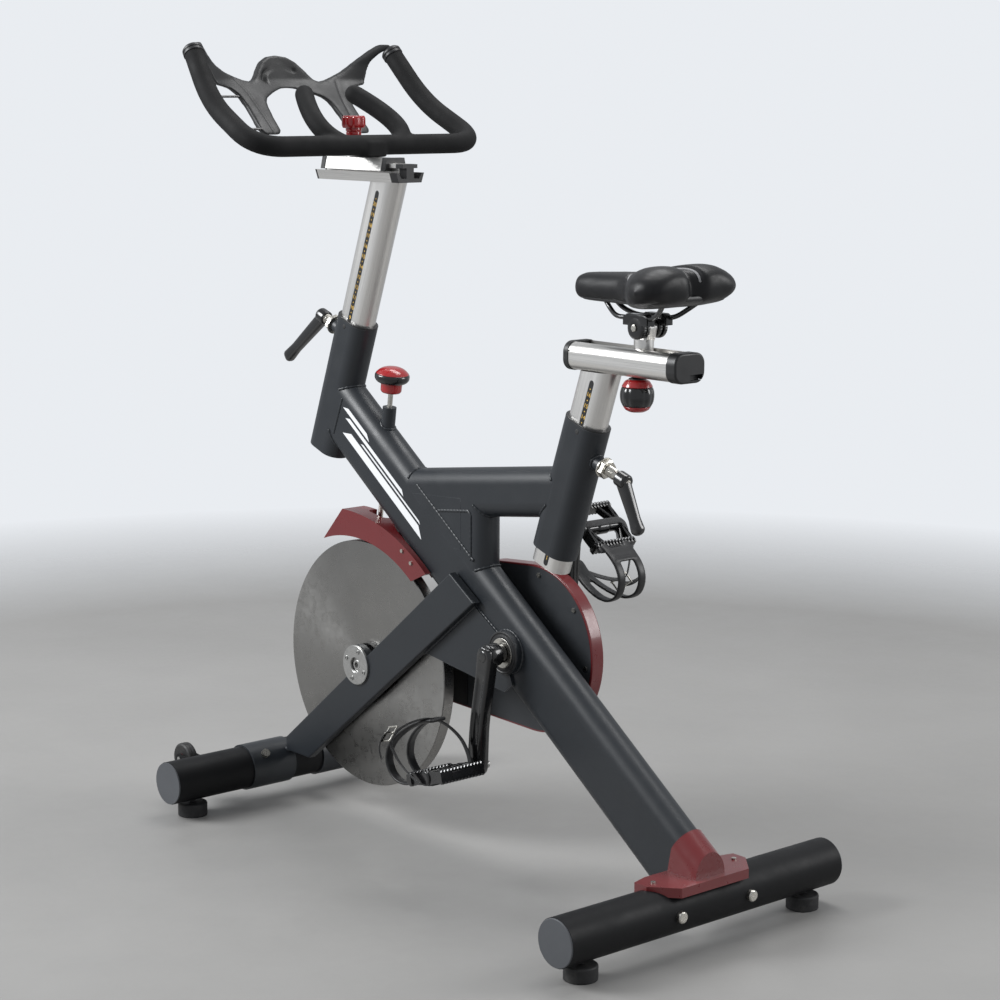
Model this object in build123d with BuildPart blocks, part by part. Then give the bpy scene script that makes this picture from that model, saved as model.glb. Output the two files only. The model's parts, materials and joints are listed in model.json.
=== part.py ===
from build123d import *
import math
import os

# Indoor spin bike, in millimetres.
#
# +X points from the saddle towards the handlebar, +Y to the rider's left, +Z up. The origin is on
# the floor, in the middle of the bike's footprint. Lengths along X are given from the crank axle.

os.makedirs("parts", exist_ok=True)

# ---------------------------------------------------------------- driving dimensions

# footprint
REAR_REACH = 418.0  # crank axle back to the heads of the rear stabiliser bolts
FRONT_REACH = 662.5  # crank axle forward to the transport wheels
CRANK_X = (REAR_REACH - FRONT_REACH) / 2

# steel tubes of the frame
WALL = 2.5
TUBE_DEEP = 75.0
TUBE_THICK = 50.0
MAIN_DEEP = 110.0
MAIN_RISE = 36.0
MAIN_Z = 356.6  # height of the main tube's centreline above the crank axle's x
SIDE_Y = TUBE_THICK / 2

HEAD_LEAN = 20.0
HEAD_TOP = (396.0, 814.0)
HEAD_LENGTH = 227.0
SEAT_LEAN = 19.2
SEAT_TOP = (-143.4, 710.7)
SEAT_LENGTH = 207.0
TOP_RISE = 7.6  # the top tube climbs towards the saddle

# sliding posts
POST_DEEP = 65.0
POST_THICK = 40.0
POST_GAP = 0.06  # running clearance of a post in its bushing
BAR_POST_UP = 234.0
BAR_POST_IN = 150.0
SEAT_POST_DOWN = 24.0

# stabilisers
FOOT_TUBE_R = 35.0
FOOT_TUBE_Z = 61.0
REAR_X = -376.6
FRONT_X = 574.5
REAR_HALF = 265.0
FRONT_HALF = 257.0
CAP_THICK = 2.5
PAD_R = 24.0
PAD_HEIGHT = 22.0
STUD_R = 5.0
SLEEVE_R = 38.0

# crank set
CRANK_Z = 352.0
CRANK_LENGTH = 170.0
CRANK_SWING = 3.7  # left crank hangs this far forward of straight down
SPINDLE_R = 8.5
SHELL_R = 33.0
LEFT_ARM_Y = 69.6
RIGHT_ARM_Y = -97.0
LEFT_PEDAL_Y = 130.0
RIGHT_PEDAL_Y = -147.5
LEFT_PEDAL_TILT = -15.0
RIGHT_PEDAL_TILT = 220.0

# flywheel
WHEEL_X = 350.5
WHEEL_Z = 268.0
WHEEL_R = 199.0
WHEEL_NEAR_Y = 24.0
WHEEL_THICK = 20.0
AXLE_R = 8.5
BEARING_R = 20.0
LEG_OUT_Y = 42.0
LEG_THICK = 13.0
PLATE_R = 32.0
PLATE_THICK = 4.0

# drive, inside the cover on the right
COVER_NEAR_Y = -47.0
COVER_FAR_Y = -71.0
COVER_REAR = (23.0, 342.0)
COVER_REAR_R = 129.5
COVER_TOP = (105.0, 391.5)
COVER_TOP_R = 73.5
COVER_FRONT_R = 47.0
BELT_Y = -59.0
BELT_WIDTH = 14.0
BIG_PULLEY_R = 92.0
SMALL_PULLEY_R = 28.0

# brake
KNOB_TOP = (307.0, 747.0)
BRAKE_LEAN = 8.0
BRAKE_ROD_R = 4.0
BRAKE_GAP = 5.2

# handlebar
BAR_R = 16.0
BAR_X = 360.0
BAR_Z = 1091.0
BAR_RAIL_Z = 1036.0
RAIL_FRONT = 470.0
RAIL_REAR = 270.0

# saddle
SEAT_RAIL_Z = 787.0
SEAT_RAIL_HIGH = 40.0
SEAT_RAIL_WIDE = 56.0
SEAT_RAIL_FRONT = -130.0
SEAT_RAIL_REAR = -328.0
SEAT_PIN_X = -255.0
SEAT_PIN_R = 14.0

# transport wheels
WHEELS_X = 637.0
WHEELS_Y = 183.0
WHEELS_Z = 77.0
WHEELS_R = 25.5
WHEELS_THICK = 18.0
PIN_R = 4.0

RUNNING = 0.06  # clearance of parts that turn or slide on one another


# ---------------------------------------------------------------- drawing planes


def side(y=0.0, x=0.0, z=0.0):
    """Side view at width y: sketch X forward, sketch Y up, extruding towards the right."""
    return Plane(origin=(CRANK_X + x, y, z), x_dir=(1, 0, 0), z_dir=(0, -1, 0))


def across(rise, x, z, y=0.0):
    """Plane square to an axis rising `rise` degrees above forward: sketch X is to the left."""
    angle = math.radians(rise)
    return Plane(
        origin=(CRANK_X + x, y, z),
        x_dir=(0, 1, 0),
        z_dir=(math.cos(angle), 0, math.sin(angle)),
    )


def level(z, x=0.0, y=0.0):
    """Horizontal plane at height z."""
    return Plane(origin=(CRANK_X + x, y, z))


def along(start, rise, distance):
    """Point `distance` further along an axis that starts at (x, z)."""
    angle = math.radians(rise)
    return (start[0] + distance * math.cos(angle), start[1] + distance * math.sin(angle))


HEAD_RISE = 90 + HEAD_LEAN
SEAT_RISE = 90 + SEAT_LEAN
HEAD_FOOT = along(HEAD_TOP, HEAD_RISE, -HEAD_LENGTH)
SEAT_FOOT = along(SEAT_TOP, SEAT_RISE, -SEAT_LENGTH)
MAIN_BACK = 540.0
MAIN_FRONT = 550.0
MAIN_START = along((0.0, MAIN_Z), MAIN_RISE, -MAIN_BACK)
BRAKE_RISE = 90 + BRAKE_LEAN

# ---------------------------------------------------------------- fork legs


with BuildPart() as fork_leg:
    with BuildSketch(side(LEG_OUT_Y)):
        with BuildLine():
            Polyline((118, 455), (61, 418), (484, 84), (548, 84), (548, 107), close=True)
        make_face()
        with Locations((WHEEL_X, WHEEL_Z)):
            Circle(PLATE_R)
    extrude(amount=LEG_THICK)
    fillet(fork_leg.faces().sort_by(Axis.Y)[-1].edges(), radius=2.5)
    with BuildSketch(side(LEG_OUT_Y)):
        with Locations((WHEEL_X, WHEEL_Z)):
            Circle(BEARING_R + 4)
    extrude(amount=LEG_THICK, mode=Mode.SUBTRACT)

# ---------------------------------------------------------------- welded frame

SHELL_HALF = 36.0
BEARING_SEAT_R = 21.0
BOSS_R = 11.0
MAIN_REAR_CUT = -395.0
HEAD_LEVER_AT = along(HEAD_TOP, HEAD_RISE, -31.0)
SEAT_LEVER_AT = along(SEAT_TOP, SEAT_RISE, -46.0)
BOSS_OUT = TUBE_DEEP / 2 + 14
BRAKE_BOSS_TOP = along(KNOB_TOP, BRAKE_RISE, -63.0)
LEVER_STUD_R = 5.0

with BuildPart() as main_frame:
    # the four tubes and the strut, as closed bars
    with BuildSketch(across(MAIN_RISE, *MAIN_START)):
        SlotOverall(MAIN_DEEP, TUBE_THICK, rotation=90)
    extrude(amount=MAIN_BACK + MAIN_FRONT)
    with BuildSketch(across(HEAD_RISE, *HEAD_FOOT)):
        SlotOverall(TUBE_DEEP, TUBE_THICK, rotation=90)
    extrude(amount=HEAD_LENGTH)
    with BuildSketch(across(SEAT_RISE, *SEAT_FOOT)):
        SlotOverall(TUBE_DEEP, TUBE_THICK, rotation=90)
    extrude(amount=SEAT_LENGTH)
    with BuildSketch(across(180 - TOP_RISE, 250.0, 558.0)):
        SlotOverall(TUBE_DEEP, TUBE_THICK - 0.4, rotation=90)
    extrude(amount=358.0)
    with BuildSketch(level(440.0, x=115.0)):
        SlotOverall(105.0, TUBE_THICK - 0.8)
    extrude(amount=135.0)
    # hollow insides
    with BuildSketch(across(MAIN_RISE, *MAIN_START)):
        SlotOverall(MAIN_DEEP - 2 * WALL, TUBE_THICK - 2 * WALL, rotation=90)
    extrude(amount=MAIN_BACK + 490.0, mode=Mode.SUBTRACT)
    with BuildSketch(across(180 - TOP_RISE, 200.0, 564.0)):
        SlotOverall(TUBE_DEEP - 2 * WALL, TUBE_THICK - 2 * WALL, rotation=90)
    extrude(amount=240.0, mode=Mode.SUBTRACT)
    with BuildSketch(level(430.0, x=115.0)):
        SlotOverall(100.0, TUBE_THICK - 2 * WALL - 1)
    extrude(amount=130.0, mode=Mode.SUBTRACT)
    # rear end, coped over the rear stabiliser
    with BuildSketch(side(TUBE_THICK)):
        with BuildLine():
            Polyline(
                (MAIN_REAR_CUT, 300),
                (MAIN_REAR_CUT, FOOT_TUBE_Z),
                (REAR_X + FOOT_TUBE_R, FOOT_TUBE_Z),
                (REAR_X + FOOT_TUBE_R, -80),
                (-600, -80),
                (-600, 300),
                close=True,
            )
        make_face()
        with Locations((REAR_X, FOOT_TUBE_Z)):
            Circle(FOOT_TUBE_R)
    extrude(amount=2 * TUBE_THICK, mode=Mode.SUBTRACT)
    # gusset plates that carry the fork legs and the crank shell
    for face_y in (SIDE_Y + 4.0, -SIDE_Y - 0.5):
        with BuildSketch(side(face_y)):
            with BuildLine():
                Polyline((105, 440), (79, 412), (19, 375), (-14, 304), (4, 290), (197, 316),
                         (250, 320), close=True)
            make_face()
        extrude(amount=3.5)
    for face_y in (SIDE_Y + 1.0, -SIDE_Y + 0.5):
        with BuildSketch(side(face_y)):
            with BuildLine():
                Polyline((105, 440), (79, 412), (19, 375), (-10, 310), (140, 385), close=True)
            make_face()
        extrude(amount=1.5)
    with BuildSketch(side(SHELL_HALF)):
        with Locations((0, CRANK_Z)):
            Circle(SHELL_R)
    extrude(amount=2 * SHELL_HALF)
    add(fork_leg.part)
    add(mirror(fork_leg.part, about=Plane.XZ, mode=Mode.PRIVATE))
    # sleeves around the front stabiliser
    for inner_y in (LEG_OUT_Y - LEG_THICK, -112.0):
        with BuildSketch(side(inner_y + 112.0 - LEG_OUT_Y + LEG_THICK, x=FRONT_X)):
            with Locations((0, FOOT_TUBE_Z)):
                Circle(SLEEVE_R)
        extrude(amount=112.0 - LEG_OUT_Y + LEG_THICK)
    with BuildSketch(side(120.0, x=FRONT_X)):
        with Locations((0, FOOT_TUBE_Z)):
            Circle(FOOT_TUBE_R + 0.05)
    extrude(amount=240.0, mode=Mode.SUBTRACT)
    # threaded bosses for the two clamp levers and the brake rod
    with BuildSketch(across(HEAD_LEAN, *HEAD_LEVER_AT)):
        Circle(BOSS_R)
    extrude(amount=BOSS_OUT)
    with BuildSketch(across(180 + SEAT_LEAN, *SEAT_LEVER_AT)):
        Circle(BOSS_R)
    extrude(amount=BOSS_OUT)
    with BuildSketch(across(BRAKE_RISE - 180, *BRAKE_BOSS_TOP)):
        Circle(BOSS_R)
    extrude(amount=60.0)
    # fender bracket on the left of the main tube
    with BuildSketch(side(SIDE_Y + 8.4)):
        with Locations((233, 461)):
            Rectangle(34, 12, rotation=MAIN_RISE)
    extrude(amount=20.0)
    # bores
    with BuildSketch(across(HEAD_RISE, *HEAD_FOOT)):
        SlotOverall(TUBE_DEEP - 2 * WALL, TUBE_THICK - 2 * WALL, rotation=90)
    extrude(amount=HEAD_LENGTH, mode=Mode.SUBTRACT)
    with BuildSketch(across(SEAT_RISE, *SEAT_FOOT)):
        SlotOverall(TUBE_DEEP - 2 * WALL, TUBE_THICK - 2 * WALL, rotation=90)
    extrude(amount=SEAT_LENGTH, mode=Mode.SUBTRACT)
    with BuildSketch(side(SHELL_HALF)):
        with Locations((0, CRANK_Z)):
            Circle(BEARING_SEAT_R)
    extrude(amount=2 * SHELL_HALF, mode=Mode.SUBTRACT)
    with BuildSketch(across(HEAD_LEAN, *HEAD_LEVER_AT)):
        Circle(LEVER_STUD_R + 1)
    extrude(amount=BOSS_OUT, mode=Mode.SUBTRACT)
    with BuildSketch(across(180 + SEAT_LEAN, *SEAT_LEVER_AT)):
        Circle(LEVER_STUD_R + 1)
    extrude(amount=BOSS_OUT, mode=Mode.SUBTRACT)
    with BuildSketch(across(BRAKE_RISE - 180, *BRAKE_BOSS_TOP)):
        Circle(BRAKE_ROD_R + RUNNING)
    extrude(amount=220.0, mode=Mode.SUBTRACT)
main_frame.part.label = "main_frame"
export_step(main_frame.part, "parts/main_frame.step")

# ---------------------------------------------------------------- stabilisers and their fittings


def stabiliser(half, centre_x, pad_y):
    """Round foot tube, hollow, with a hole in the floor side for each levelling foot."""
    with BuildPart() as tube:
        with BuildSketch(side(half, x=centre_x)):
            with Locations((0, FOOT_TUBE_Z)):
                Circle(FOOT_TUBE_R)
                Circle(FOOT_TUBE_R - WALL, mode=Mode.SUBTRACT)
        extrude(amount=2 * half)
        with BuildSketch(level(FOOT_TUBE_Z, x=centre_x)):
            with Locations((0, pad_y), (0, -pad_y)):
                Circle(STUD_R + RUNNING)
        extrude(amount=-FOOT_TUBE_R, mode=Mode.SUBTRACT)
    return tube


REAR_PAD_Y = 220.0
FRONT_PAD_Y = 212.0
REAR_BOLTS_Y = (66.0, -73.0)
BOLT_HEAD_R = 8.5
BOLT_HEAD_HIGH = 6.4

with BuildPart() as rear_stabiliser:
    add(stabiliser(REAR_HALF, REAR_X, REAR_PAD_Y).part)
rear_stabiliser.part.label = "rear_stabiliser"
export_step(rear_stabiliser.part, "parts/rear_stabiliser.step")

with BuildPart() as front_stabiliser:
    add(stabiliser(FRONT_HALF, FRONT_X, FRONT_PAD_Y).part)
    # two cheeks for each transport wheel
    for wheel_y in (WHEELS_Y, -WHEELS_Y):
        for cheek_y in (wheel_y + WHEELS_THICK / 2 + 4.5, wheel_y - WHEELS_THICK / 2 - 1.5):
            with BuildSketch(side(cheek_y)):
                with Locations((WHEELS_X, WHEELS_Z)):
                    Circle(9.0)
                with Locations((FRONT_X + 24, FOOT_TUBE_Z + 6)):
                    Circle(16.0)
                make_hull()
                with Locations((FRONT_X, FOOT_TUBE_Z)):
                    Circle(FOOT_TUBE_R - 1, mode=Mode.SUBTRACT)
                with Locations((WHEELS_X, WHEELS_Z)):
                    Circle(PIN_R, mode=Mode.SUBTRACT)
            extrude(amount=3.0)
front_stabiliser.part.label = "front_stabiliser"
export_step(front_stabiliser.part, "parts/front_stabiliser.step")

with BuildPart() as stabiliser_caps:
    for centre_x, half in ((REAR_X, REAR_HALF), (FRONT_X, FRONT_HALF)):
        for face_y in (half + CAP_THICK, -half):
            with BuildSketch(side(face_y, x=centre_x)):
                with Locations((0, FOOT_TUBE_Z)):
                    Circle(FOOT_TUBE_R - 0.8)
            extrude(amount=CAP_THICK)
    fillet(stabiliser_caps.edges().group_by(Axis.Y)[0], radius=1.2)
    fillet(stabiliser_caps.edges().group_by(Axis.Y)[-1], radius=1.2)
stabiliser_caps.part.label = "stabiliser_caps"
export_step(stabiliser_caps.part, "parts/stabiliser_caps.step")

REAR_BOLT_FACE = REAR_X - FOOT_TUBE_R
SLEEVE_BOLT_RISE = 140.0

with BuildPart() as stabiliser_bolts:
    # two through the rear stabiliser, with domed heads behind
    for bolt_y in REAR_BOLTS_Y:
        with BuildSketch(across(180, REAR_BOLT_FACE + 2, FOOT_TUBE_Z, bolt_y)):
            Circle(BOLT_HEAD_R)
        extrude(amount=BOLT_HEAD_HIGH + 2)
    fillet(stabiliser_bolts.edges().group_by(Axis.X)[0], radius=2.5)
    # one through each sleeve of the front stabiliser
    for bolt_y in (87.0, -87.0):
        start = along((FRONT_X, FOOT_TUBE_Z), SLEEVE_BOLT_RISE, SLEEVE_R - 2)
        with BuildSketch(across(SLEEVE_BOLT_RISE, *start, bolt_y)):
            Circle(7.0)
        extrude(amount=8.0)
    with BuildSketch(side(REAR_HALF)):
        with Locations((REAR_X, FOOT_TUBE_Z)):
            Circle(FOOT_TUBE_R)
        with Locations((FRONT_X, FOOT_TUBE_Z)):
            Circle(SLEEVE_R)
    extrude(amount=2 * REAR_HALF, mode=Mode.SUBTRACT)
stabiliser_bolts.part.label = "stabiliser_bolts"
export_step(stabiliser_bolts.part, "parts/stabiliser_bolts.step")


def levelling_foot(foot_x, foot_y):
    """Rubber puck on a threaded stud."""
    with BuildPart() as foot:
        with BuildSketch(level(0, x=foot_x, y=foot_y)):
            Circle(PAD_R)
        extrude(amount=PAD_HEIGHT)
        fillet(foot.edges().group_by(Axis.Z)[-1], radius=3.0)
        fillet(foot.edges().group_by(Axis.Z)[0], radius=1.5)
        with BuildSketch(level(PAD_HEIGHT, x=foot_x, y=foot_y)):
            Circle(STUD_R)
        extrude(amount=24.0)
    return foot


with BuildPart() as foot_rear_left:
    add(levelling_foot(REAR_X, REAR_PAD_Y).part)
foot_rear_left.part.label = "foot_rear_left"
export_step(foot_rear_left.part, "parts/foot_rear_left.step")

with BuildPart() as foot_rear_right:
    add(levelling_foot(REAR_X, -REAR_PAD_Y).part)
foot_rear_right.part.label = "foot_rear_right"
export_step(foot_rear_right.part, "parts/foot_rear_right.step")

with BuildPart() as foot_front_left:
    add(levelling_foot(FRONT_X, FRONT_PAD_Y).part)
foot_front_left.part.label = "foot_front_left"
export_step(foot_front_left.part, "parts/foot_front_left.step")

with BuildPart() as foot_front_right:
    add(levelling_foot(FRONT_X, -FRONT_PAD_Y).part)
foot_front_right.part.label = "foot_front_right"
export_step(foot_front_right.part, "parts/foot_front_right.step")


def transport_wheel(wheel_y):
    """Small wheel with a rounded tread and a bored hub."""
    with BuildPart() as wheel:
        with BuildSketch(side(wheel_y + WHEELS_THICK / 2)):
            with Locations((WHEELS_X, WHEELS_Z)):
                Circle(WHEELS_R)
                Circle(PIN_R + RUNNING, mode=Mode.SUBTRACT)
        extrude(amount=WHEELS_THICK)
        fillet(wheel.edges().filter_by(GeomType.CIRCLE).group_by(SortBy.RADIUS)[-1], radius=4.0)
    return wheel


with BuildPart() as transport_wheel_left:
    add(transport_wheel(WHEELS_Y).part)
transport_wheel_left.part.label = "transport_wheel_left"
export_step(transport_wheel_left.part, "parts/transport_wheel_left.step")

with BuildPart() as transport_wheel_right:
    add(transport_wheel(-WHEELS_Y).part)
transport_wheel_right.part.label = "transport_wheel_right"
export_step(transport_wheel_right.part, "parts/transport_wheel_right.step")

with BuildPart() as wheel_pins:
    for pin_y in (WHEELS_Y, -WHEELS_Y):
        with BuildSketch(side(pin_y + WHEELS_THICK / 2 + 5.5)):
            with Locations((WHEELS_X, WHEELS_Z)):
                Circle(PIN_R)
        extrude(amount=WHEELS_THICK + 11.0)
wheel_pins.part.label = "wheel_pins"
export_step(wheel_pins.part, "parts/wheel_pins.step")

# ---------------------------------------------------------------- red boot over the rear joint

BOOT_SKIN = 3.5
BOOT_BASE_Z = 88.0
BOOT_BASE_TOP = 102.0
BOOT_HALF = 82.0

with BuildPart() as boot_room:
    with BuildSketch(across(MAIN_RISE, *MAIN_START)):
        SlotOverall(MAIN_DEEP, TUBE_THICK, rotation=90)
    extrude(amount=MAIN_BACK)
    split(bisect_by=Plane(origin=(CRANK_X + MAIN_REAR_CUT, 0, 0), z_dir=(1, 0, 0)))

with BuildPart() as rear_boot:
    # hood over the end of the main tube
    with BuildSketch(across(MAIN_RISE, *MAIN_START)):
        SlotOverall(MAIN_DEEP + 2 * BOOT_SKIN, TUBE_THICK + 2 * BOOT_SKIN, rotation=90)
    extrude(amount=MAIN_BACK)
    with BuildSketch(side(TUBE_THICK)):
        with BuildLine():
            Polyline((-402, 96), (-402, 136), (-385, 190), (-353, 136), (-345, 96), close=True)
        make_face()
    extrude(amount=2 * TUBE_THICK, mode=Mode.INTERSECT)
    # base plate draped over the stabiliser
    with BuildSketch(level(BOOT_BASE_Z)):
        with BuildLine():
            Polyline((-345, 72), (-352, 98), (-376, 98), (-413, 66), (-413, -66), (-376, -98),
                     (-352, -98), (-345, -72), close=True)
        make_face()
    extrude(amount=BOOT_BASE_TOP - BOOT_BASE_Z)
    with BuildSketch(side(2 * BOOT_HALF)):
        with Locations((REAR_X, FOOT_TUBE_Z)):
            Circle(FOOT_TUBE_R)
    extrude(amount=4 * BOOT_HALF, mode=Mode.SUBTRACT)
    add(boot_room.part, mode=Mode.SUBTRACT)
rear_boot.part.label = "rear_boot"
export_step(rear_boot.part, "parts/rear_boot.step")

# ---------------------------------------------------------------- fender and belt cover

FENDER_OUT_R = 243.0
FENDER_IN_R = 205.0
FENDER_SKIN = 2.5
FENDER_LEFT_Y = WHEEL_NEAR_Y + 12.0
FENDER_WIDE = WHEEL_THICK + 24.0


FENDER_HUB = (WHEEL_X, WHEEL_Z)
FRONT_LOW = along(FENDER_HUB, 64.0, FENDER_IN_R + 9.0)
FRONT_HIGH = along(FENDER_HUB, 80.0, FENDER_OUT_R + 8.0)
TOP_MID = along(FENDER_HUB, 108.0, FENDER_OUT_R - 4.0)
REAR_HIGH = along(FENDER_HUB, 134.0, FENDER_OUT_R - 1.0)
REAR_LOW = along(FENDER_HUB, 130.0, FENDER_IN_R)
LOW_MID = along(FENDER_HUB, 98.0, FENDER_IN_R - 1.0)

with BuildPart() as fender:
    # a swept arch, taller at its front end
    with BuildSketch(side(FENDER_LEFT_Y)):
        with BuildLine():
            Line(FRONT_LOW, FRONT_HIGH)
            ThreePointArc(FRONT_HIGH, TOP_MID, REAR_HIGH)
            Line(REAR_HIGH, REAR_LOW)
            ThreePointArc(REAR_LOW, LOW_MID, FRONT_LOW)
        make_face()
    extrude(amount=FENDER_WIDE)
    # hollow underneath, open over the wheel
    with BuildSketch(side(FENDER_LEFT_Y - FENDER_SKIN)):
        with Locations((WHEEL_X, WHEEL_Z)):
            Circle(FENDER_OUT_R - FENDER_SKIN - 6.0)
    extrude(amount=FENDER_WIDE - 2 * FENDER_SKIN, mode=Mode.SUBTRACT)
    # clear of the main tube and of the brake rod
    with BuildSketch(across(MAIN_RISE, 100, MAIN_Z + 100 * math.tan(math.radians(MAIN_RISE)))):
        SlotOverall(MAIN_DEEP + 4, TUBE_THICK + 4, rotation=90)
    extrude(amount=400, mode=Mode.SUBTRACT)
    with BuildSketch(across(BRAKE_RISE - 180, *KNOB_TOP)):
        SlotOverall(46.0, 22.0, rotation=90)
    extrude(amount=300, mode=Mode.SUBTRACT)
fender.part.label = "fender"
export_step(fender.part, "parts/fender.step")


def cover_outline(inset):
    """Side outline of the belt cover, drawn in by `inset`."""
    with Locations(COVER_REAR):
        Circle(COVER_REAR_R - inset)
    with Locations(COVER_TOP):
        Circle(COVER_TOP_R - inset)
    with Locations((WHEEL_X, WHEEL_Z)):
        Circle(COVER_FRONT_R - inset)
    make_hull()


COVER_SKIN = 2.5
CHEEK = 3.0

with BuildPart() as belt_cover:
    # the two side faces, each with openings for the axles that pass through
    with BuildSketch(side(COVER_NEAR_Y)):
        cover_outline(inset=CHEEK)
        with Locations((0, CRANK_Z)):
            Circle(SPINDLE_R + 6.0, mode=Mode.SUBTRACT)
        with Locations((WHEEL_X, WHEEL_Z)):
            Circle(AXLE_R + 5.0, mode=Mode.SUBTRACT)
    extrude(amount=COVER_SKIN)
    with BuildSketch(side(COVER_FAR_Y + COVER_SKIN)):
        cover_outline(inset=CHEEK)
        with Locations((0, CRANK_Z)):
            Circle(SPINDLE_R + 6.0, mode=Mode.SUBTRACT)
    extrude(amount=COVER_SKIN)
belt_cover.part.label = "belt_cover"
export_step(belt_cover.part, "parts/belt_cover.step")

with BuildPart() as belt_cover_rim:
    with BuildSketch(side(COVER_NEAR_Y - 0.2)):
        cover_outline(inset=0)
    extrude(amount=COVER_NEAR_Y - COVER_FAR_Y - 0.4)
    fillet(belt_cover_rim.faces().sort_by(Axis.Y)[0].edges(), radius=2.0)
    fillet(belt_cover_rim.faces().sort_by(Axis.Y)[-1].edges(), radius=2.0)
    with BuildSketch(side(COVER_NEAR_Y)):
        cover_outline(inset=CHEEK)
    extrude(amount=COVER_NEAR_Y - COVER_FAR_Y, mode=Mode.SUBTRACT)
belt_cover_rim.part.label = "belt_cover_rim"
export_step(belt_cover_rim.part, "parts/belt_cover_rim.step")

with BuildPart() as belt_guard:
    with BuildSketch(side(COVER_NEAR_Y + 2.0)):
        with BuildLine():
            Polyline((180, 222), (300, 222), (300, 260), (200, 330), (180, 330), close=True)
        make_face()
    extrude(amount=2.0)
belt_guard.part.label = "belt_guard"
export_step(belt_guard.part, "parts/belt_guard.step")

SCREW_HEAD_R = 3.6
SCREW_HEAD_HIGH = 2.2

with BuildPart() as cover_screws:
    # boot, down into the stabiliser
    for screw_y in (80.0, -80.0):
        with BuildSketch(level(BOOT_BASE_TOP, x=REAR_X + 6, y=screw_y)):
            Circle(SCREW_HEAD_R)
        extrude(amount=SCREW_HEAD_HIGH)
    # fender, into its bracket
    with BuildSketch(side(FENDER_LEFT_Y + SCREW_HEAD_HIGH)):
        with Locations((240, 470), (218, 454)):
            Circle(SCREW_HEAD_R - 0.6)
    extrude(amount=SCREW_HEAD_HIGH)
    # belt cover, both faces
    for screw_y in (COVER_NEAR_Y + SCREW_HEAD_HIGH, COVER_FAR_Y):
        with BuildSketch(side(screw_y)):
            with Locations(COVER_REAR):
                with PolarLocations(COVER_REAR_R - 14.0, 4, start_angle=95.0,
                                    angular_range=180.0):
                    Circle(SCREW_HEAD_R)
        extrude(amount=SCREW_HEAD_HIGH)
cover_screws.part.label = "cover_screws"
export_step(cover_screws.part, "parts/cover_screws.step")

# ---------------------------------------------------------------- flywheel, its axle and bearings

with BuildPart() as flywheel:
    with BuildSketch(side(WHEEL_NEAR_Y)):
        with Locations((WHEEL_X, WHEEL_Z)):
            Circle(WHEEL_R)
    extrude(amount=WHEEL_THICK)
    chamfer(flywheel.edges(), length=1.2)
    with BuildSketch(side(WHEEL_NEAR_Y - WHEEL_THICK)):
        with Locations((WHEEL_X, WHEEL_Z)):
            Circle(30.0)
    extrude(amount=24.0)
    with BuildSketch(side(WHEEL_NEAR_Y)):
        with Locations((WHEEL_X, WHEEL_Z)):
            Circle(AXLE_R)
    extrude(amount=WHEEL_THICK + 24.0, mode=Mode.SUBTRACT)
flywheel.part.label = "flywheel"
export_step(flywheel.part, "parts/flywheel.step")

with BuildPart() as flywheel_axle:
    with BuildSketch(side(LEG_OUT_Y + 1.0)):
        with Locations((WHEEL_X, WHEEL_Z)):
            Circle(AXLE_R)
    extrude(amount=LEG_OUT_Y + 2.0 - BELT_Y + BELT_WIDTH / 2)
    chamfer(flywheel_axle.edges().sort_by(Axis.Y)[-1], length=1.0)
    with BuildSketch(side(LEG_OUT_Y + 1.0)):
        with Locations((WHEEL_X, WHEEL_Z)):
            RegularPolygon(5.0, 6)
    extrude(amount=5.0, mode=Mode.SUBTRACT)
flywheel_axle.part.label = "flywheel_axle"
export_step(flywheel_axle.part, "parts/flywheel_axle.step")

with BuildPart() as flywheel_bearings:
    for bearing_y in (LEG_OUT_Y - 1.0, -LEG_OUT_Y + LEG_THICK):
        with BuildSketch(side(bearing_y)):
            with Locations((WHEEL_X, WHEEL_Z)):
                Circle(BEARING_R)
                Circle(AXLE_R + RUNNING, mode=Mode.SUBTRACT)
        extrude(amount=LEG_THICK - 1.0)
flywheel_bearings.part.label = "flywheel_bearings"
export_step(flywheel_bearings.part, "parts/flywheel_bearings.step")

with BuildPart() as axle_plates:
    for outer_y, inner_y, thick in (
        (LEG_OUT_Y + PLATE_THICK, LEG_OUT_Y, PLATE_THICK),
        (-LEG_OUT_Y, -LEG_OUT_Y + LEG_THICK, PLATE_THICK / 2),
    ):
        with BuildSketch(side(outer_y)):
            with Locations((WHEEL_X, WHEEL_Z)):
                Circle(PLATE_R)
                Circle(AXLE_R + 3.5, mode=Mode.SUBTRACT)
        extrude(amount=thick)
        with BuildSketch(side(inner_y)):
            with Locations((WHEEL_X, WHEEL_Z)):
                Circle(BEARING_R + 4.0)
                Circle(BEARING_R, mode=Mode.SUBTRACT)
        extrude(amount=LEG_THICK)
    chamfer(axle_plates.edges().group_by(Axis.Y)[-1], length=0.8)
axle_plates.part.label = "axle_plates"
export_step(axle_plates.part, "parts/axle_plates.step")

with BuildPart() as axle_plate_screws:
    for head_y in (LEG_OUT_Y + PLATE_THICK + 1.6, -LEG_OUT_Y - PLATE_THICK / 2):
        with BuildSketch(side(head_y)):
            with Locations((WHEEL_X, WHEEL_Z)):
                with PolarLocations(24.0, 4, start_angle=20.0):
                    Circle(3.4)
                    RegularPolygon(1.6, 6, mode=Mode.SUBTRACT)
        extrude(amount=1.6)
axle_plate_screws.part.label = "axle_plate_screws"
export_step(axle_plate_screws.part, "parts/axle_plate_screws.step")

# ---------------------------------------------------------------- belt drive

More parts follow.
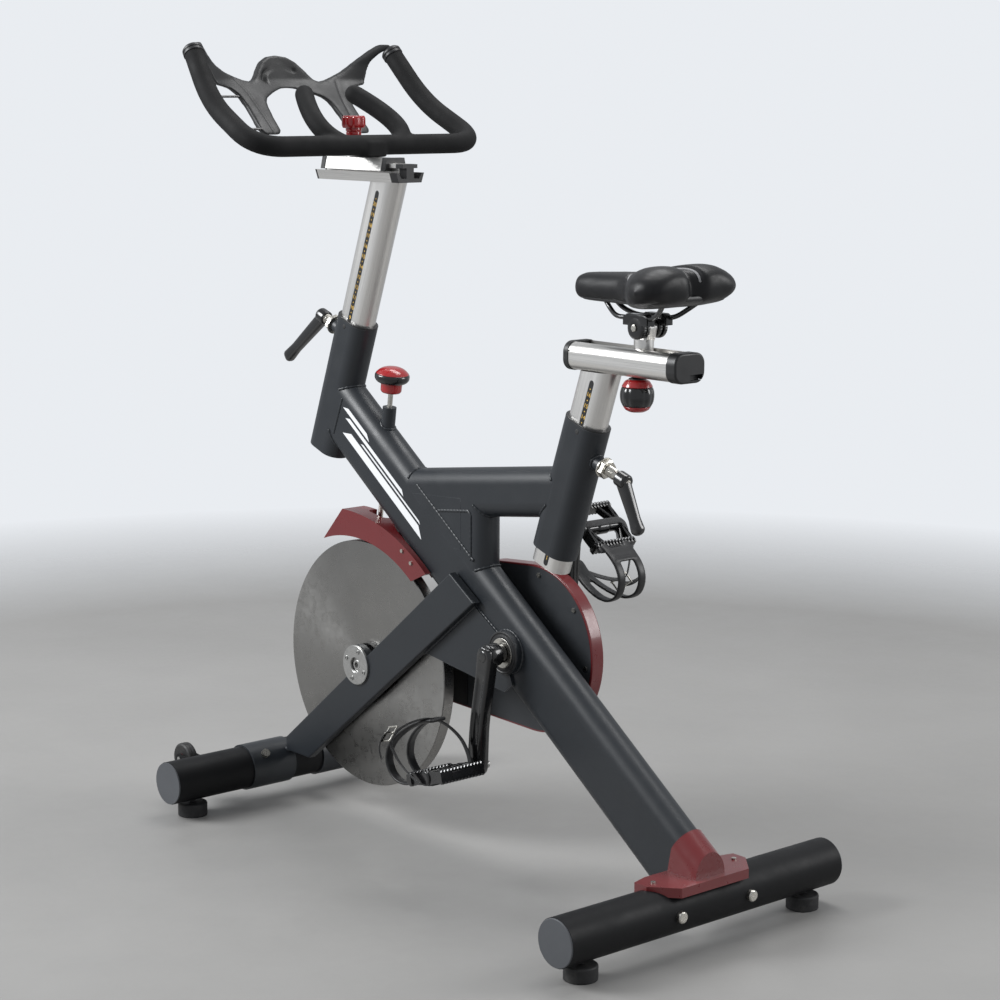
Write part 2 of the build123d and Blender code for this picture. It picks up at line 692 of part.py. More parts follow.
with BuildPart() as flywheel_pulley:
    with BuildSketch(side(BELT_Y + BELT_WIDTH / 2 + 1)):
        with Locations((WHEEL_X, WHEEL_Z)):
            Circle(SMALL_PULLEY_R)
            Circle(AXLE_R, mode=Mode.SUBTRACT)
    extrude(amount=BELT_WIDTH + 2)
flywheel_pulley.part.label = "flywheel_pulley"
export_step(flywheel_pulley.part, "parts/flywheel_pulley.step")

with BuildPart() as drive_pulley:
    with BuildSketch(side(BELT_Y + BELT_WIDTH / 2 + 1)):
        with Locations((0, CRANK_Z)):
            Circle(BIG_PULLEY_R)
            Circle(SPINDLE_R, mode=Mode.SUBTRACT)
            with PolarLocations(58.0, 6):
                Circle(20.0, mode=Mode.SUBTRACT)
    extrude(amount=BELT_WIDTH + 2)
drive_pulley.part.label = "drive_pulley"
export_step(drive_pulley.part, "parts/drive_pulley.step")

BELT_THICK = 3.0

with BuildPart() as drive_belt:
    with BuildSketch(side(BELT_Y + BELT_WIDTH / 2)):
        with Locations((0, CRANK_Z)):
            Circle(BIG_PULLEY_R + RUNNING + BELT_THICK)
        with Locations((WHEEL_X, WHEEL_Z)):
            Circle(SMALL_PULLEY_R + RUNNING + BELT_THICK)
        make_hull()
    extrude(amount=BELT_WIDTH)
    with BuildSketch(side(BELT_Y + BELT_WIDTH / 2)):
        with Locations((0, CRANK_Z)):
            Circle(BIG_PULLEY_R + RUNNING)
        with Locations((WHEEL_X, WHEEL_Z)):
            Circle(SMALL_PULLEY_R + RUNNING)
        make_hull()
    extrude(amount=BELT_WIDTH, mode=Mode.SUBTRACT)
drive_belt.part.label = "drive_belt"
export_step(drive_belt.part, "parts/drive_belt.step")

# ---------------------------------------------------------------- crank set

with BuildPart() as crank_spindle:
    with BuildSketch(side(LEFT_ARM_Y - 3)):
        with Locations((0, CRANK_Z)):
            Circle(SPINDLE_R)
    extrude(amount=LEFT_ARM_Y - RIGHT_ARM_Y - 6)
crank_spindle.part.label = "crank_spindle"
export_step(crank_spindle.part, "parts/crank_spindle.step")

with BuildPart() as crank_bearings:
    for bearing_y in (SHELL_HALF + 1.5, -SHELL_HALF + 12.0):
        with BuildSketch(side(bearing_y)):
            with Locations((0, CRANK_Z)):
                Circle(BEARING_SEAT_R)
                Circle(SPINDLE_R + RUNNING, mode=Mode.SUBTRACT)
        extrude(amount=13.5)
crank_bearings.part.label = "crank_bearings"
export_step(crank_bearings.part, "parts/crank_bearings.step")

ARM_THICK = 14.0
ARM_TOP_R = 15.0
ARM_FOOT_R = 13.0
PEDAL_PIN_R = 6.0


def crank_arm(face_y, boss_y, direction):
    """Crank arm with its outer face at face_y and a round boss in to boss_y."""
    foot = along((0, CRANK_Z), direction, CRANK_LENGTH)
    inward = math.copysign(1.0, face_y)
    with BuildPart() as arm:
        with BuildSketch(side(max(face_y, face_y - inward * ARM_THICK))):
            with Locations((0, CRANK_Z)):
                Circle(ARM_TOP_R)
            with Locations(foot):
                Circle(ARM_FOOT_R)
            make_hull()
        extrude(amount=ARM_THICK)
        fillet(arm.edges().group_by(Axis.Y)[0], radius=3.5)
        fillet(arm.edges().group_by(Axis.Y)[-1], radius=3.5)
        with BuildSketch(side(max(boss_y, face_y - inward * ARM_THICK))):
            with Locations((0, CRANK_Z)):
                Circle(ARM_TOP_R + 2)
        extrude(amount=abs(face_y - inward * ARM_THICK - boss_y))
        with BuildSketch(side(max(boss_y, face_y - 3 * inward))):
            with Locations((0, CRANK_Z)):
                Circle(SPINDLE_R)
        extrude(amount=abs(boss_y - face_y + 3 * inward), mode=Mode.SUBTRACT)
        with BuildSketch(side(max(face_y, face_y - inward * ARM_THICK))):
            with Locations(foot):
                Circle(PEDAL_PIN_R)
        extrude(amount=ARM_THICK, mode=Mode.SUBTRACT)
    return arm


LEFT_DIRECTION = CRANK_SWING - 90.0
RIGHT_DIRECTION = CRANK_SWING + 90.0
LEFT_PEDAL_AT = along((0, CRANK_Z), LEFT_DIRECTION, CRANK_LENGTH)
RIGHT_PEDAL_AT = along((0, CRANK_Z), RIGHT_DIRECTION, CRANK_LENGTH)

with BuildPart() as crank_left:
    add(crank_arm(LEFT_ARM_Y, SHELL_HALF + 3.0, LEFT_DIRECTION).part)
crank_left.part.label = "crank_left"
export_step(crank_left.part, "parts/crank_left.step")

with BuildPart() as crank_right:
    add(crank_arm(RIGHT_ARM_Y, COVER_FAR_Y - 2.0, RIGHT_DIRECTION).part)
crank_right.part.label = "crank_right"
export_step(crank_right.part, "parts/crank_right.step")

# ---------------------------------------------------------------- pedals

PEDAL_LONG = 84.0
PEDAL_WIDE = 92.0
PEDAL_HIGH = 22.0
PEDAL_PIN_REACH = 49.0

with BuildPart() as pedal_spindles:
    with BuildSketch(side(LEFT_PEDAL_Y + PEDAL_PIN_REACH - 8)):
        with Locations(LEFT_PEDAL_AT):
            Circle(PEDAL_PIN_R)
    extrude(amount=LEFT_PEDAL_Y + PEDAL_PIN_REACH - 8 - LEFT_ARM_Y + ARM_THICK)
    with BuildSketch(side(RIGHT_ARM_Y + ARM_THICK)):
        with Locations(RIGHT_PEDAL_AT):
            Circle(PEDAL_PIN_R)
    extrude(amount=RIGHT_ARM_Y + ARM_THICK - RIGHT_PEDAL_Y + PEDAL_PIN_REACH - 8)
pedal_spindles.part.label = "pedal_spindles"
export_step(pedal_spindles.part, "parts/pedal_spindles.step")


def pedal_plane(at, pedal_y, tilt):
    """Plane on the pedal's left face: sketch X is towards the toe, sketch Y up out of the tread."""
    angle = math.radians(tilt)
    return Plane(
        origin=(CRANK_X + at[0], pedal_y, at[1]),
        x_dir=(math.cos(angle), 0, math.sin(angle)),
        z_dir=(0, -1, 0),
    )


def pedal_body(at, pedal_y, tilt):
    """Open cage pedal: a bored barrel between a front and a rear tread bar."""
    with BuildPart() as pedal:
        with BuildSketch(pedal_plane(at, pedal_y + PEDAL_WIDE / 2, tilt)):
            RectangleRounded(PEDAL_LONG, PEDAL_HIGH, 6)
        extrude(amount=PEDAL_WIDE)
        with BuildSketch(pedal_plane(at, pedal_y + PEDAL_WIDE / 2 - 9, tilt)):
            with Locations((PEDAL_LONG / 4 + 2.5, 0), (-PEDAL_LONG / 4 - 2.5, 0)):
                Rectangle(PEDAL_LONG / 2 - 25.0, PEDAL_HIGH)
        extrude(amount=PEDAL_WIDE - 18, mode=Mode.SUBTRACT)
        with BuildSketch(pedal_plane(at, pedal_y + PEDAL_WIDE / 2 + 1, tilt)):
            Circle(PEDAL_PIN_R + RUNNING)
        extrude(amount=PEDAL_WIDE + 2, mode=Mode.SUBTRACT)
    return pedal


TOE_REACH = 124.0
CAGE_HALF = 28.0


def toe_cage(at, pedal_y, tilt):
    """Toe clip: a band from the tread's front edge up round the toe, and its strap."""
    with BuildPart() as cage:
        with BuildSketch(pedal_plane(at, pedal_y + CAGE_HALF, tilt)):
            with BuildLine():
                FilletPolyline(
                    (PEDAL_LONG / 2 + 0.2, -8),
                    (TOE_REACH - 8, -4),
                    (TOE_REACH, 42),
                    (PEDAL_LONG / 2 - 8, 68),
                    (PEDAL_LONG / 2 - 10, 64),
                    (TOE_REACH - 6, 37),
                    (TOE_REACH - 13, 0),
                    (PEDAL_LONG / 2 + 0.2, -4),
                    radius=1.5,
                    close=True,
                )
            make_face()
        extrude(amount=2 * CAGE_HALF)
    return cage


with BuildPart() as pedal_left:
    add(pedal_body(LEFT_PEDAL_AT, LEFT_PEDAL_Y, LEFT_PEDAL_TILT).part)
pedal_left.part.label = "pedal_left"
export_step(pedal_left.part, "parts/pedal_left.step")

with BuildPart() as pedal_right:
    add(pedal_body(RIGHT_PEDAL_AT, RIGHT_PEDAL_Y, RIGHT_PEDAL_TILT).part)
pedal_right.part.label = "pedal_right"
export_step(pedal_right.part, "parts/pedal_right.step")

with BuildPart() as toe_cage_left:
    add(toe_cage(LEFT_PEDAL_AT, LEFT_PEDAL_Y, LEFT_PEDAL_TILT).part)
toe_cage_left.part.label = "toe_cage_left"
export_step(toe_cage_left.part, "parts/toe_cage_left.step")

with BuildPart() as toe_cage_right:
    add(toe_cage(RIGHT_PEDAL_AT, RIGHT_PEDAL_Y, RIGHT_PEDAL_TILT).part)
toe_cage_right.part.label = "toe_cage_right"
export_step(toe_cage_right.part, "parts/toe_cage_right.step")

# ---------------------------------------------------------------- brake

ROD_LENGTH = 262.0
PAD_AT = along(KNOB_TOP, BRAKE_RISE, -ROD_LENGTH)

with BuildPart() as brake_rod:
    with BuildSketch(across(BRAKE_RISE - 180, *along(KNOB_TOP, BRAKE_RISE, -30.0))):
        Circle(BRAKE_ROD_R)
    extrude(amount=ROD_LENGTH - 30.0)
brake_rod.part.label = "brake_rod"
export_step(brake_rod.part, "parts/brake_rod.step")

with BuildPart() as brake_knob:
    with BuildSketch(Plane(origin=(CRANK_X + KNOB_TOP[0], 0, KNOB_TOP[1]), x_dir=(0, 1, 0),
                           z_dir=across(BRAKE_RISE, 0, 0).z_dir)):
        Circle(26.5)
    extrude(amount=-20.0)
    fillet(brake_knob.edges().group_by(Axis.Z)[-1], radius=8.0)
    fillet(brake_knob.edges().group_by(Axis.Z)[0], radius=5.0)
    with BuildSketch(across(BRAKE_RISE - 180, *along(KNOB_TOP, BRAKE_RISE, -19.0))):
        Circle(12.0)
    extrude(amount=14.0)
    with BuildSketch(across(BRAKE_RISE - 180, *along(KNOB_TOP, BRAKE_RISE, -33.0))):
        Circle(16.5)
    extrude(amount=6.0)
    with BuildSketch(across(BRAKE_RISE - 180, *along(KNOB_TOP, BRAKE_RISE, -30.0))):
        Circle(BRAKE_ROD_R + RUNNING)
    extrude(amount=20.0, mode=Mode.SUBTRACT)
brake_knob.part.label = "brake_knob"
export_step(brake_knob.part, "parts/brake_knob.step")

with BuildPart() as brake_pad:
    with BuildSketch(side(WHEEL_NEAR_Y - 2)):
        with Locations((PAD_AT[0], PAD_AT[1] - 4.0)):
            Rectangle(52.0, 26.0)
        with Locations((WHEEL_X, WHEEL_Z)):
            Circle(WHEEL_R + BRAKE_GAP, mode=Mode.SUBTRACT)
    extrude(amount=WHEEL_THICK - 4)
    with BuildSketch(side(WHEEL_NEAR_Y - 2)):
        with Locations((PAD_AT[0], PAD_AT[1] + 4.0)):
            Rectangle(30.0, 10.0)
    extrude(amount=WHEEL_NEAR_Y + 3)
    with BuildSketch(across(BRAKE_RISE - 180, *KNOB_TOP)):
        Circle(BRAKE_ROD_R)
    extrude(amount=ROD_LENGTH, mode=Mode.SUBTRACT)
brake_pad.part.label = "brake_pad"
export_step(brake_pad.part, "parts/brake_pad.step")

SPRING_R = 8.5
SPRING_WIRE_R = 1.0
SPRING_TOP = along(KNOB_TOP, BRAKE_RISE, -128.0)

with BuildPart() as brake_spring:
    with BuildLine():
        coil = Helix(
            pitch=7.0,
            height=70.0,
            radius=SPRING_R,
            center=across(BRAKE_RISE, *SPRING_TOP).origin,
            direction=-across(BRAKE_RISE, *SPRING_TOP).z_dir,
        )
    with BuildSketch(Plane(origin=coil @ 0, z_dir=coil % 0)):
        Circle(SPRING_WIRE_R)
    sweep(path=coil, is_frenet=True)
brake_spring.part.label = "brake_spring"
export_step(brake_spring.part, "parts/brake_spring.step")

# ---------------------------------------------------------------- sliding posts and their bushings

BUSH_RIM = 3.0
BUSH_LONG = 46.0


def bushing(rise, top):
    """Plastic liner with a rim, between a frame tube and its sliding post."""
    with BuildPart() as liner:
        with BuildSketch(across(rise, *top)):
            SlotOverall(TUBE_DEEP - 2 * WALL, TUBE_THICK - 2 * WALL, rotation=90)
        extrude(amount=-BUSH_LONG)
        with BuildSketch(across(rise, *top)):
            SlotOverall(TUBE_DEEP, TUBE_THICK, rotation=90)
        extrude(amount=BUSH_RIM)
        fillet(liner.faces().filter_by(GeomType.PLANE).sort_by(Axis.Z)[-1].edges(), radius=1.2)
        with BuildSketch(across(rise, *along(top, rise, -BUSH_LONG))):
            SlotOverall(POST_DEEP + 2 * POST_GAP, POST_THICK + 2 * POST_GAP, rotation=90)
        extrude(amount=BUSH_LONG + BUSH_RIM, mode=Mode.SUBTRACT)
        # room for the tip of the clamp screw
        with BuildSketch(across(rise, *along(top, rise, -BUSH_LONG))):
            with Locations((0, TUBE_DEEP / 2), (0, -TUBE_DEEP / 2)):
                Rectangle(16.0, 20.0)
        extrude(amount=26.0, mode=Mode.SUBTRACT)
    return liner


with BuildPart() as head_bushing:
    add(bushing(HEAD_RISE, HEAD_TOP).part)
head_bushing.part.label = "head_bushing"
export_step(head_bushing.part, "parts/head_bushing.step")

with BuildPart() as seat_bushing:
    add(bushing(SEAT_RISE, SEAT_TOP).part)
seat_bushing.part.label = "seat_bushing"
export_step(seat_bushing.part, "parts/seat_bushing.step")

BAR_POST_FOOT = along(HEAD_TOP, HEAD_RISE, -BAR_POST_IN)
SEAT_POST_FOOT = along(SEAT_FOOT, SEAT_RISE, -SEAT_POST_DOWN)
POST_WALL = 2.5

with BuildPart() as handlebar_post:
    with BuildSketch(across(HEAD_RISE, *BAR_POST_FOOT)):
        SlotOverall(POST_DEEP, POST_THICK, rotation=90)
        SlotOverall(POST_DEEP - 2 * POST_WALL, POST_THICK - 2 * POST_WALL, rotation=90,
                    mode=Mode.SUBTRACT)
    extrude(amount=BAR_POST_IN + BAR_POST_UP + 40)
    split(bisect_by=Plane(origin=(0, 0, BAR_RAIL_Z)), keep=Keep.BOTTOM)
handlebar_post.part.label = "handlebar_post"
export_step(handlebar_post.part, "parts/handlebar_post.step")

with BuildPart() as seat_post:
    with BuildSketch(across(SEAT_RISE, *SEAT_POST_FOOT)):
        SlotOverall(POST_DEEP, POST_THICK, rotation=90)
        SlotOverall(POST_DEEP - 2 * POST_WALL, POST_THICK - 2 * POST_WALL, rotation=90,
                    mode=Mode.SUBTRACT)
    extrude(amount=SEAT_LENGTH + 160)
    split(bisect_by=Plane(origin=(0, 0, SEAT_RAIL_Z)), keep=Keep.BOTTOM)
seat_post.part.label = "seat_post"
export_step(seat_post.part, "parts/seat_post.step")

# ---------------------------------------------------------------- handlebar rail, slider and knob

RIB_HALF = 7.0
HEAD_HALF = 14.0
TRAY_HALF = 22.0
TRAY_TOP_HALF = 27.0
TRAY_TOP_Z = 1051.0
NECK_Z = 1058.0
RAIL_HEAD_Z = 1064.0
SLIDE_GAP = 0.15


def bar_rail_outline(grow=0.0):
    """Points of half the rail's section, as (sideways, height)."""
    return [
        (0, BAR_RAIL_Z),
        (TRAY_HALF, BAR_RAIL_Z),
        (TRAY_TOP_HALF + grow, TRAY_TOP_Z),
        (TRAY_TOP_HALF - 4, TRAY_TOP_Z + grow),
        (TRAY_HALF - 5, BAR_RAIL_Z + 6 + grow),
        (RIB_HALF + grow, BAR_RAIL_Z + 6 + grow),
        (RIB_HALF + grow, NECK_Z - grow),
        (HEAD_HALF + grow, NECK_Z - grow),
        (HEAD_HALF + grow, RAIL_HEAD_Z + grow),
        (0, RAIL_HEAD_Z + grow),
    ]


with BuildPart() as bar_rail:
    with BuildSketch(Plane(origin=(CRANK_X + RAIL_REAR + 10, 0, 0), x_dir=(0, 1, 0),
                           z_dir=(1, 0, 0))):
        with BuildLine():
            Polyline(*bar_rail_outline())
            mirror(about=Plane.YZ)
        make_face()
    extrude(amount=RAIL_FRONT - RAIL_REAR - 14)
bar_rail.part.label = "bar_rail"
export_step(bar_rail.part, "parts/bar_rail.step")

with BuildPart() as bar_rail_caps:
    for cap_x, thick in ((RAIL_REAR - 8, 18.0), (RAIL_FRONT - 4, 4.0)):
        with BuildSketch(Plane(origin=(CRANK_X + cap_x, 0, 0), x_dir=(0, 1, 0),
                               z_dir=(1, 0, 0))):
            with BuildLine():
                Polyline(*bar_rail_outline())
                mirror(about=Plane.YZ)
            make_face()
        extrude(amount=thick)
bar_rail_caps.part.label = "bar_rail_caps"
export_step(bar_rail_caps.part, "parts/bar_rail_caps.step")

SLIDER_REAR = 300.0
SLIDER_FRONT = 460.0
SLIDER_Z = 1053.0
SLIDER_TOP = 1072.0
SLIDER_HALF = 21.0

with BuildPart() as bar_slider:
    with BuildSketch(Plane(origin=(CRANK_X + SLIDER_REAR, 0, 0), x_dir=(0, 1, 0),
                           z_dir=(1, 0, 0))):
        with BuildLine():
            Polyline(
                (-SLIDER_HALF, SLIDER_Z),
                (SLIDER_HALF, SLIDER_Z),
                (SLIDER_HALF - 4, SLIDER_TOP),
                (-SLIDER_HALF + 4, SLIDER_TOP),
                close=True,
            )
        make_face()
        with BuildLine():
            Polyline(
                (-RIB_HALF - SLIDE_GAP, SLIDER_Z),
                (-RIB_HALF - SLIDE_GAP, NECK_Z - SLIDE_GAP),
                (-HEAD_HALF - SLIDE_GAP, NECK_Z - SLIDE_GAP),
                (-HEAD_HALF - SLIDE_GAP, RAIL_HEAD_Z + SLIDE_GAP),
                (HEAD_HALF + SLIDE_GAP, RAIL_HEAD_Z + SLIDE_GAP),
                (HEAD_HALF + SLIDE_GAP, NECK_Z - SLIDE_GAP),
                (RIB_HALF + SLIDE_GAP, NECK_Z - SLIDE_GAP),
                (RIB_HALF + SLIDE_GAP, SLIDER_Z),
                close=True,
            )
        make_face(mode=Mode.SUBTRACT)
    extrude(amount=SLIDER_FRONT - SLIDER_REAR)
    # the clamping knob's threaded boss
    with BuildSketch(level(SLIDER_TOP, x=404)):
        Circle(13)
    extrude(amount=24)
    with BuildSketch(level(RAIL_HEAD_Z, x=404)):
        Circle(5 + RUNNING)
    extrude(amount=40, mode=Mode.SUBTRACT)
bar_slider.part.label = "bar_slider"
export_step(bar_slider.part, "parts/bar_slider.step")

STAR_Z = 1102.0
STAR_R = 19.0

with BuildPart() as star_knob:
    with BuildSketch(level(STAR_Z, x=404)):
        Circle(STAR_R - 6)
    extrude(amount=14)
    with BuildSketch(level(STAR_Z + 14, x=404)):
        Circle(STAR_R)
        with PolarLocations(STAR_R + 1.5, 8):
            Circle(4, mode=Mode.SUBTRACT)
    extrude(amount=19)
    fillet(star_knob.edges().group_by(Axis.Z)[-1], radius=1.5)
    with BuildSketch(level(STAR_Z, x=404)):
        Circle(5)
    extrude(amount=-(STAR_Z - RAIL_HEAD_Z - 1.0))
star_knob.part.label = "star_knob"
export_step(star_knob.part, "parts/star_knob.step")

# ---------------------------------------------------------------- handlebar and console

CORNER_Y = 219.5
ELBOW = (490.0, 209.5, 1155.5)
HORN_TIP = (555.0, 196.0, 1232.0)
AERO_Y = 50.0
NECK_LONG = 36.0
NECK_WIDE = 46.0


def bar_half(sign):
    """Half of the bar: straight middle, forward corner, then up to the horn's tip."""
    with BuildPart() as half:
        with BuildLine():
            path = FilletPolyline(
                (CRANK_X + BAR_X, 0, BAR_Z),
                (CRANK_X + BAR_X, sign * CORNER_Y, BAR_Z),
                (CRANK_X + ELBOW[0], sign * ELBOW[1], ELBOW[2]),
                (CRANK_X + HORN_TIP[0], sign * HORN_TIP[1], HORN_TIP[2]),
                radius=48.0,
            )
        with BuildSketch(Plane(origin=path @ 0, z_dir=path % 0)):
            Circle(BAR_R)
        sweep(path=path)
        with BuildLine():
            prong = FilletPolyline(
                (CRANK_X + BAR_X, sign * AERO_Y, BAR_Z),
                (CRANK_X + BAR_X + 14, sign * (AERO_Y + 36), BAR_Z + 16),
                (CRANK_X + 467, sign * AERO_Y, 1168),
                radius=30.0,
            )
        with BuildSketch(Plane(origin=prong @ 0, z_dir=prong % 0)):
            Circle(BAR_R - 1)
        sweep(path=prong)
    return half


with BuildPart() as handlebar:
    add(bar_half(1.0).part)
    add(bar_half(-1.0).part)
    # neck down to the slider
    with BuildSketch(level(SLIDER_TOP, x=BAR_X)):
        RectangleRounded(NECK_LONG, NECK_WIDE, 6)
    extrude(amount=BAR_Z - SLIDER_TOP)
handlebar.part.label = "handlebar"
export_step(handlebar.part, "parts/handlebar.step")

HORN_RUN = (Vector(*HORN_TIP) - Vector(*ELBOW)).normalized()

with BuildPart() as horn_caps:
    for sign in (1.0, -1.0):
        cap_axis = Vector(HORN_RUN.X, sign * HORN_RUN.Y, HORN_RUN.Z)
        tip = Vector(CRANK_X + HORN_TIP[0], sign * HORN_TIP[1], HORN_TIP[2])
        with BuildSketch(Plane(origin=tip, z_dir=cap_axis)):
            Circle(BAR_R + 1)
        extrude(amount=10)
    fillet(horn_caps.edges().filter_by(GeomType.CIRCLE).group_by(Axis.Z)[-1], radius=5.0)
horn_caps.part.label = "horn_caps"
export_step(horn_caps.part, "parts/horn_caps.step")

CONSOLE_THICK = 6.0
CONSOLE_CREST = [(0, 1224), (32, 1216), (78, 1192), (120, 1198), (160, 1224), (176, 1240)]

with BuildPart() as console:
    # one ribbon from wing to wing over the middle hump
    with BuildSketch(Plane(origin=(CRANK_X + 572, 0, 0), x_dir=(0, 1, 0), z_dir=(1, 0, 0))):
        with BuildLine():
            crest = Spline(*CONSOLE_CREST, tangents=((1, 0), (1, 1)))
            belly = Spline(
                *[(y, z - CONSOLE_THICK) for y, z in CONSOLE_CREST],
                tangents=((1, 0), (1, 1)),
            )
            Line(crest @ 1, belly @ 1)
            mirror(about=Plane.YZ)
        make_face()
    extrude(amount=34)
    # legs down to the level of the slider
    for leg_y in (91, -85):
        with BuildSketch(side(leg_y)):
            with BuildLine():
                Polyline((478, 1108), (505, 1106), (606, 1186), (606, 1194), (566, 1194),
                         close=True)
            make_face()
        extrude(amount=6)
console.part.label = "console"
export_step(console.part, "parts/console.step")

WIRE_R = 2.0

with BuildPart() as console_wire:
    with BuildLine():
        wire = FilletPolyline(
            (CRANK_X + 560, 91, 1164),
            (CRANK_X + 560, 160, 1164),
            (CRANK_X + 532, 160, 1116),
            (CRANK_X + 506, 160, 1114),
            (CRANK_X + 506, 91, 1114),
            radius=6.0,
        )
    with BuildSketch(Plane(origin=wire @ 0, z_dir=wire % 0)):
        Circle(WIRE_R)
    sweep(path=wire)
console_wire.part.label = "console_wire"
export_step(console_wire.part, "parts/console_wire.step")

# ---------------------------------------------------------------- seat rail and saddle

RAIL_CORNER = 15.0
CHANNEL_WIDE = 42.0
CHANNEL_HIGH = 26.0
SEAT_MID_Z = SEAT_RAIL_Z + SEAT_RAIL_HIGH / 2
BALL_AT = (-243.0, 760.0)
BALL_R = 26.5


def seat_rail_plane(x):
    """Section plane of the seat rail: sketch X to the left, sketch Y up."""
    return Plane(origin=(CRANK_X + x, 0, SEAT_MID_Z), x_dir=(0, 1, 0), z_dir=(1, 0, 0))


with BuildPart() as seat_rail:
    with BuildSketch(seat_rail_plane(SEAT_RAIL_REAR)):
        RectangleRounded(SEAT_RAIL_WIDE, SEAT_RAIL_HIGH, RAIL_CORNER)
        Rectangle(CHANNEL_WIDE, CHANNEL_HIGH, mode=Mode.SUBTRACT)
        with Locations((0, SEAT_RAIL_HIGH / 2)):
            Rectangle(2 * SEAT_PIN_R + 2, SEAT_RAIL_HIGH, mode=Mode.SUBTRACT)
        with Locations((SEAT_RAIL_WIDE / 2, 8), (-SEAT_RAIL_WIDE / 2, 8)):
            Circle(1.2, mode=Mode.SUBTRACT)
    extrude(amount=SEAT_RAIL_FRONT - SEAT_RAIL_REAR)
    # slot underneath for the clamp screw
    with BuildSketch(level(SEAT_RAIL_Z, x=BALL_AT[0] - 16)):
        SlotOverall(120, 13)
    extrude(amount=SEAT_RAIL_HIGH / 2, mode=Mode.SUBTRACT)
seat_rail.part.label = "seat_rail"
export_step(seat_rail.part, "parts/seat_rail.step")

with BuildPart() as seat_rail_caps:
    for cap_x, thick in ((SEAT_RAIL_FRONT, 11.0), (SEAT_RAIL_REAR - 18.0, 18.0)):
        with BuildSketch(seat_rail_plane(cap_x)):
            RectangleRounded(SEAT_RAIL_WIDE + 2, SEAT_RAIL_HIGH + 2, RAIL_CORNER + 1)
        extrude(amount=thick)
    fillet(seat_rail_caps.faces().sort_by(Axis.X)[0].edges(), radius=3.0)
    fillet(seat_rail_caps.faces().sort_by(Axis.X)[-1].edges(), radius=3.0)
    with BuildSketch(seat_rail_plane(SEAT_RAIL_REAR - 18.0)):
        with Locations((-12, -13)):
            Rectangle(24, 8)
    extrude(amount=8.0, mode=Mode.SUBTRACT)
seat_rail_caps.part.label = "seat_rail_caps"
export_step(seat_rail_caps.part, "parts/seat_rail_caps.step")

PIN_TOP = 840.0
SADDLE_HUB = (-262.0, 857.0)
LUG_R = 12.0
LUG_HALF = 8.0
CROSS_BOLT_R = 4.0

with BuildPart() as seat_pin:
    # nut block that runs in the rail, and the round pin it carries
    with BuildSketch(seat_rail_plane(SEAT_PIN_X - 28)):
        Rectangle(CHANNEL_WIDE - 2 * SLIDE_GAP, CHANNEL_HIGH - 2 * SLIDE_GAP)
    extrude(amount=56)
    with BuildSketch(level(SEAT_MID_Z, x=SEAT_PIN_X)):
        Circle(SEAT_PIN_R)
    extrude(amount=PIN_TOP - SEAT_MID_Z)
    with BuildSketch(level(SEAT_MID_Z - CHANNEL_HIGH, x=BALL_AT[0])):
        Circle(5 + RUNNING)
    extrude(amount=CHANNEL_HIGH * 1.3, mode=Mode.SUBTRACT)
    # lug on top, which the saddle clamp tilts on
    with BuildSketch(side(LUG_HALF)):
        with Locations(SADDLE_HUB):
            Circle(LUG_R)
        with Locations((SEAT_PIN_X, PIN_TOP - 2)):
            Rectangle(2 * LUG_R, 4)
        make_hull()
        with Locations(SADDLE_HUB):
            Circle(CROSS_BOLT_R + RUNNING, mode=Mode.SUBTRACT)
    extrude(amount=2 * LUG_HALF)
seat_pin.part.label = "seat_pin"
export_step(seat_pin.part, "parts/seat_pin.step")

with BuildPart() as ball_knob:
    with BuildSketch(side(0, x=BALL_AT[0])):
        with BuildLine():
            Polyline((0, BALL_AT[1] + 22), (12, BALL_AT[1] + 22))
            ThreePointArc(
                (12, BALL_AT[1] + 22),
                (BALL_R, BALL_AT[1] - 1),
                (10, BALL_AT[1] - 24.5),
            )
            Polyline((10, BALL_AT[1] - 24.5), (0, BALL_AT[1] - 24.5), (0, BALL_AT[1] + 22))
        make_face()
    revolve(axis=Axis((CRANK_X + BALL_AT[0], 0, 0), (0, 0, 1)))
    with BuildSketch(level(BALL_AT[1] + 22, x=BALL_AT[0])):
        Circle(5)
    extrude(amount=SEAT_MID_Z + 2 - BALL_AT[1] - 22)
ball_knob.part.label = "ball_knob"
export_step(ball_knob.part, "parts/ball_knob.step")

SADDLE_RAIL_Y = 20.0
SADDLE_RAIL_R = 3.5
CARRIER_HALF = 25.0
CHEEK_HALF = 28.0

with BuildPart() as saddle_clamp:
    # two cheeks and the rail carrier, which tilt on the pin's lug
    with BuildSketch(side(CHEEK_HALF)):
        with Locations(SADDLE_HUB):
            Circle(15.5)
    extrude(amount=2 * CHEEK_HALF)
    with BuildSketch(side(CARRIER_HALF)):
        with Locations((SADDLE_HUB[0], SADDLE_HUB[1] + 8)):
            RectangleRounded(50, 20, 4)
    extrude(amount=2 * CARRIER_HALF)
    # slot for the lug, then the cross bolt through both cheeks
    with BuildSketch(side(LUG_HALF + RUNNING)):
        with Locations(SADDLE_HUB):
            Circle(LUG_R + 1.5)
        with Locations((SADDLE_HUB[0], SADDLE_HUB[1] - 9)):
            Rectangle(44, 26)
    extrude(amount=2 * LUG_HALF + 2 * RUNNING, mode=Mode.SUBTRACT)
    with BuildSketch(side(CHEEK_HALF + 2)):
        with Locations(SADDLE_HUB):
            Circle(CROSS_BOLT_R)
    extrude(amount=2 * CHEEK_HALF + 4)
    for rail_y in (SADDLE_RAIL_Y, -SADDLE_RAIL_Y):
        with BuildSketch(side(rail_y + SADDLE_RAIL_R)):
            with Locations((SADDLE_HUB[0], 870)):
                Rectangle(120, 2 * SADDLE_RAIL_R, rotation=-0.7)
        extrude(amount=2 * SADDLE_RAIL_R, mode=Mode.SUBTRACT)
saddle_clamp.part.label = "saddle_clamp"
